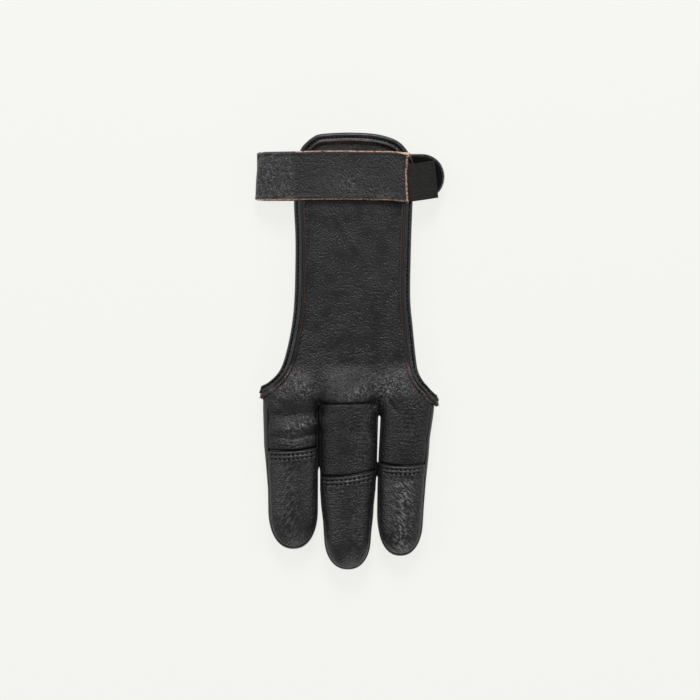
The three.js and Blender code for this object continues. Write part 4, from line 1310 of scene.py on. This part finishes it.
def colour_of(name, description, hex_colour):
    """A colour property with an sRGB hex default."""
    return FloatVectorProperty(
        name=name, description=description, subtype="COLOR", min=0, max=1, default=linear(hex_colour)
    )


class GloveColours(PropertyGroup):
    """Colours of the glove's finishes."""

    back: colour_of("Back", "Dyed leather of the back", "#101012")
    tips: colour_of("Tips", "Dyed leather of the fingertips", "#151516")
    binding: colour_of("Binding", "Leather of the binding", "#0e0e10")
    strap: colour_of("Strap", "Leather of the strap", "#111113")
    flesh: colour_of("Flesh side", "Inner face of the leather", "#2b2928")
    raw_edge: colour_of("Raw edge", "Cut edge of the strap", "#cba58c")
    rust: colour_of("Binding edge", "Cut edge of the binding", "#6b3a2a")
    elastic: colour_of("Elastic", "Woven elastic", "#1c1c1a")
    hooks: colour_of("Hook tape", "Nylon hook tape", "#08080a")
    thread: colour_of("Thread", "Bonded nylon thread", "#070708")
    floor: colour_of("Floor", "Pale floor", "#f5f6f1")


def settings_of(context):
    """The glove's sizes in millimetres, and its colours."""
    group = context.scene.glove_sizes
    sizes = SimpleNamespace(**{key: getattr(group, key) / MM for key in GloveSizes.__annotations__})
    return sizes, context.scene.glove_colours


class GLOVE_OT_back(Operator):
    """Build the back of the hand and the middle finger's own back"""

    bl_idname = "glove.back"
    bl_label = "Back"

    def execute(self, context):
        sizes, colours = settings_of(context)
        for name, build, node in (
            ("hand_back_leather", panel_part, "back_panel"),
            ("middle_back_leather", middle_back_part, "middle_finger_back"),
        ):
            faces = finishes(colours, "full_grain_back_leather", "suede_flesh_side")
            make_piece(name, build(sizes), faces, [node], sizes.wall)
        return {"FINISHED"}


class GLOVE_OT_tips(Operator):
    """Build the three padded tip covers with their topstitching"""

    bl_idname = "glove.tips"
    bl_label = "Tip covers"

    def execute(self, context):
        sizes, colours = settings_of(context)
        for finger in FINGERS:
            name, node = f"tip_leather_{finger.name}", f"tip_cover_{finger.name}"
            faces = finishes(colours, "stretched_tip_leather", "suede_flesh_side")
            make_piece(name, cover_part(finger, sizes), faces, [node], sizes.wall)
            nylon = finishes(colours, "bonded_nylon_thread")
            make_piece(f"tip_stitches_{finger.name}", tip_stitches(finger, sizes), nylon)
        return {"FINISHED"}


class GLOVE_OT_fronts(Operator):
    """Build the palm side of the three fingers"""

    bl_idname = "glove.fronts"
    bl_label = "Finger fronts"

    def execute(self, context):
        sizes, colours = settings_of(context)
        for finger in FINGERS:
            name, node = f"front_leather_{finger.name}", f"finger_front_{finger.name}"
            faces = finishes(colours, "palm_leather", "suede_flesh_side")
            make_piece(name, front_part(finger), faces, [node], sizes.wall)
        return {"FINISHED"}


class GLOVE_OT_binding(Operator):
    """Build the folded binding round the panel and the mouth, with its stitches"""

    bl_idname = "glove.binding"
    bl_label = "Binding"

    def execute(self, context):
        sizes, colours = settings_of(context)
        nodes = ["edge_binding", "mouth_binding"]
        hide = finishes(colours, "skived_binding_leather")
        make_piece("folded_binding", binding_part(sizes), hide, nodes)
        nylon = finishes(colours, "bonded_nylon_thread")
        make_piece("binding_stitches", binding_stitches(sizes), nylon)
        return {"FINISHED"}


class GLOVE_OT_strap(Operator):
    """Build the wrist strap, its hook tape and the elastic that closes on it"""

    bl_idname = "glove.strap"
    bl_label = "Wrist strap"

    def execute(self, context):
        sizes, colours = settings_of(context)
        hide = finishes(colours, "raw_edged_strap_leather")
        make_piece("wrist_strap_leather", strap_part(), hide, ["wrist_strap"])
        hooks = finishes(colours, "nylon_hook_tape")
        make_piece("hook_tape_pad", hook_part(sizes), hooks, ["hook_patch"])
        weave = finishes(colours, "woven_elastic", rib=sizes.rib)
        make_piece("elastic_web", elastic_part(sizes), weave, ["elastic_band"])
        return {"FINISHED"}


CAMERA_PLACE = (-0.25, 0.75, 1320)
LENS = 135
SENSOR = 36
FLOOR_Z = -0.05
FLOOR_HALF = 2.5
# Each light's name, place and size in metres and its power
LIGHTS = (
    ("key_top", (0, 1, 0.85), 0.5, 15),
    ("fill_left", (-1, 0.25, 0.85), 0.5, 6),
    ("fill_right", (1, 0.3, 0.85), 0.5, 5),
    ("fill_low", (0.2, -1.25, 0.5), 0.6, 5),
)


class GLOVE_OT_stage(Operator):
    """Build the pale floor, the soft light and the camera straight above"""

    bl_idname = "glove.stage"
    bl_label = "Stage"

    def execute(self, context):
        scene, colours = context.scene, context.scene.glove_colours
        scene.view_settings.view_transform = "Standard"
        mesh = bpy.data.meshes.new("floor")
        corners = [(x, y, FLOOR_Z * MM) for x, y in ((-1, -1), (1, -1), (1, 1), (-1, 1))]
        mesh.from_pydata([(x * FLOOR_HALF, y * FLOOR_HALF, z) for x, y, z in corners], [], [(0, 1, 2, 3)])
        floor = place_object("floor", mesh)
        material, _, _, surface = start_material("pale_floor", 0.0, 1.0)
        surface.inputs["Base Color"].default_value = (*np.array(colours.floor) * 0.1, 1)
        surface.inputs["Emission Color"].default_value = (*colours.floor, 1)
        surface.inputs["Emission Strength"].default_value = 0.88
        mesh.materials.append(material)
        scene.world = bpy.data.worlds.new("soft_room")
        scene.world.use_nodes = True
        background = scene.world.node_tree.nodes["Background"]
        background.inputs["Color"].default_value = (1, 1, 1, 1)
        background.inputs["Strength"].default_value = 0.14
        for name, place, size, power in LIGHTS:
            light = place_object(name, bpy.data.lights.new(name, "AREA"))
            light.data.size = size
            light.data.energy = power
            light.location = place
            light.rotation_euler = (-Vector(place)).to_track_quat("-Z", "Y").to_euler()
        camera = place_object("camera", bpy.data.cameras.new("camera"))
        camera.data.lens = LENS
        camera.data.sensor_width = SENSOR
        camera.data.clip_end = 20
        camera.location = np.array(CAMERA_PLACE) * MM
        scene.camera = camera
        return {"FINISHED"}


class GLOVE_PT_sidebar(Panel):
    """The glove's sizes, colours and steps"""

    bl_idname = "GLOVE_PT_sidebar"
    bl_label = "Archery Glove"
    bl_space_type = "VIEW_3D"
    bl_region_type = "UI"
    bl_category = "Glove"

    def draw(self, context):
        for group in (context.scene.glove_sizes, context.scene.glove_colours):
            for key in group.__annotations__:
                self.layout.prop(group, key)
        for operator in OPERATORS:
            self.layout.operator(operator.bl_idname)


OPERATORS = (
    GLOVE_OT_stage, GLOVE_OT_back, GLOVE_OT_tips, GLOVE_OT_fronts, GLOVE_OT_binding, GLOVE_OT_strap
)
CLASSES = (GloveSizes, GloveColours, *OPERATORS, GLOVE_PT_sidebar)


def register():
    for kind in CLASSES:
        bpy.utils.register_class(kind)
    bpy.types.Scene.glove_sizes = PointerProperty(type=GloveSizes)
    bpy.types.Scene.glove_colours = PointerProperty(type=GloveColours)


def unregister():
    del bpy.types.Scene.glove_colours
    del bpy.types.Scene.glove_sizes
    for kind in reversed(CLASSES):
        bpy.utils.unregister_class(kind)


def main():
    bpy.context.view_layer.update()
    register()
    for operator in OPERATORS:
        group, action = operator.bl_idname.split(".")
        getattr(getattr(bpy.ops, group), action)()


if __name__ == "__main__":
    main()
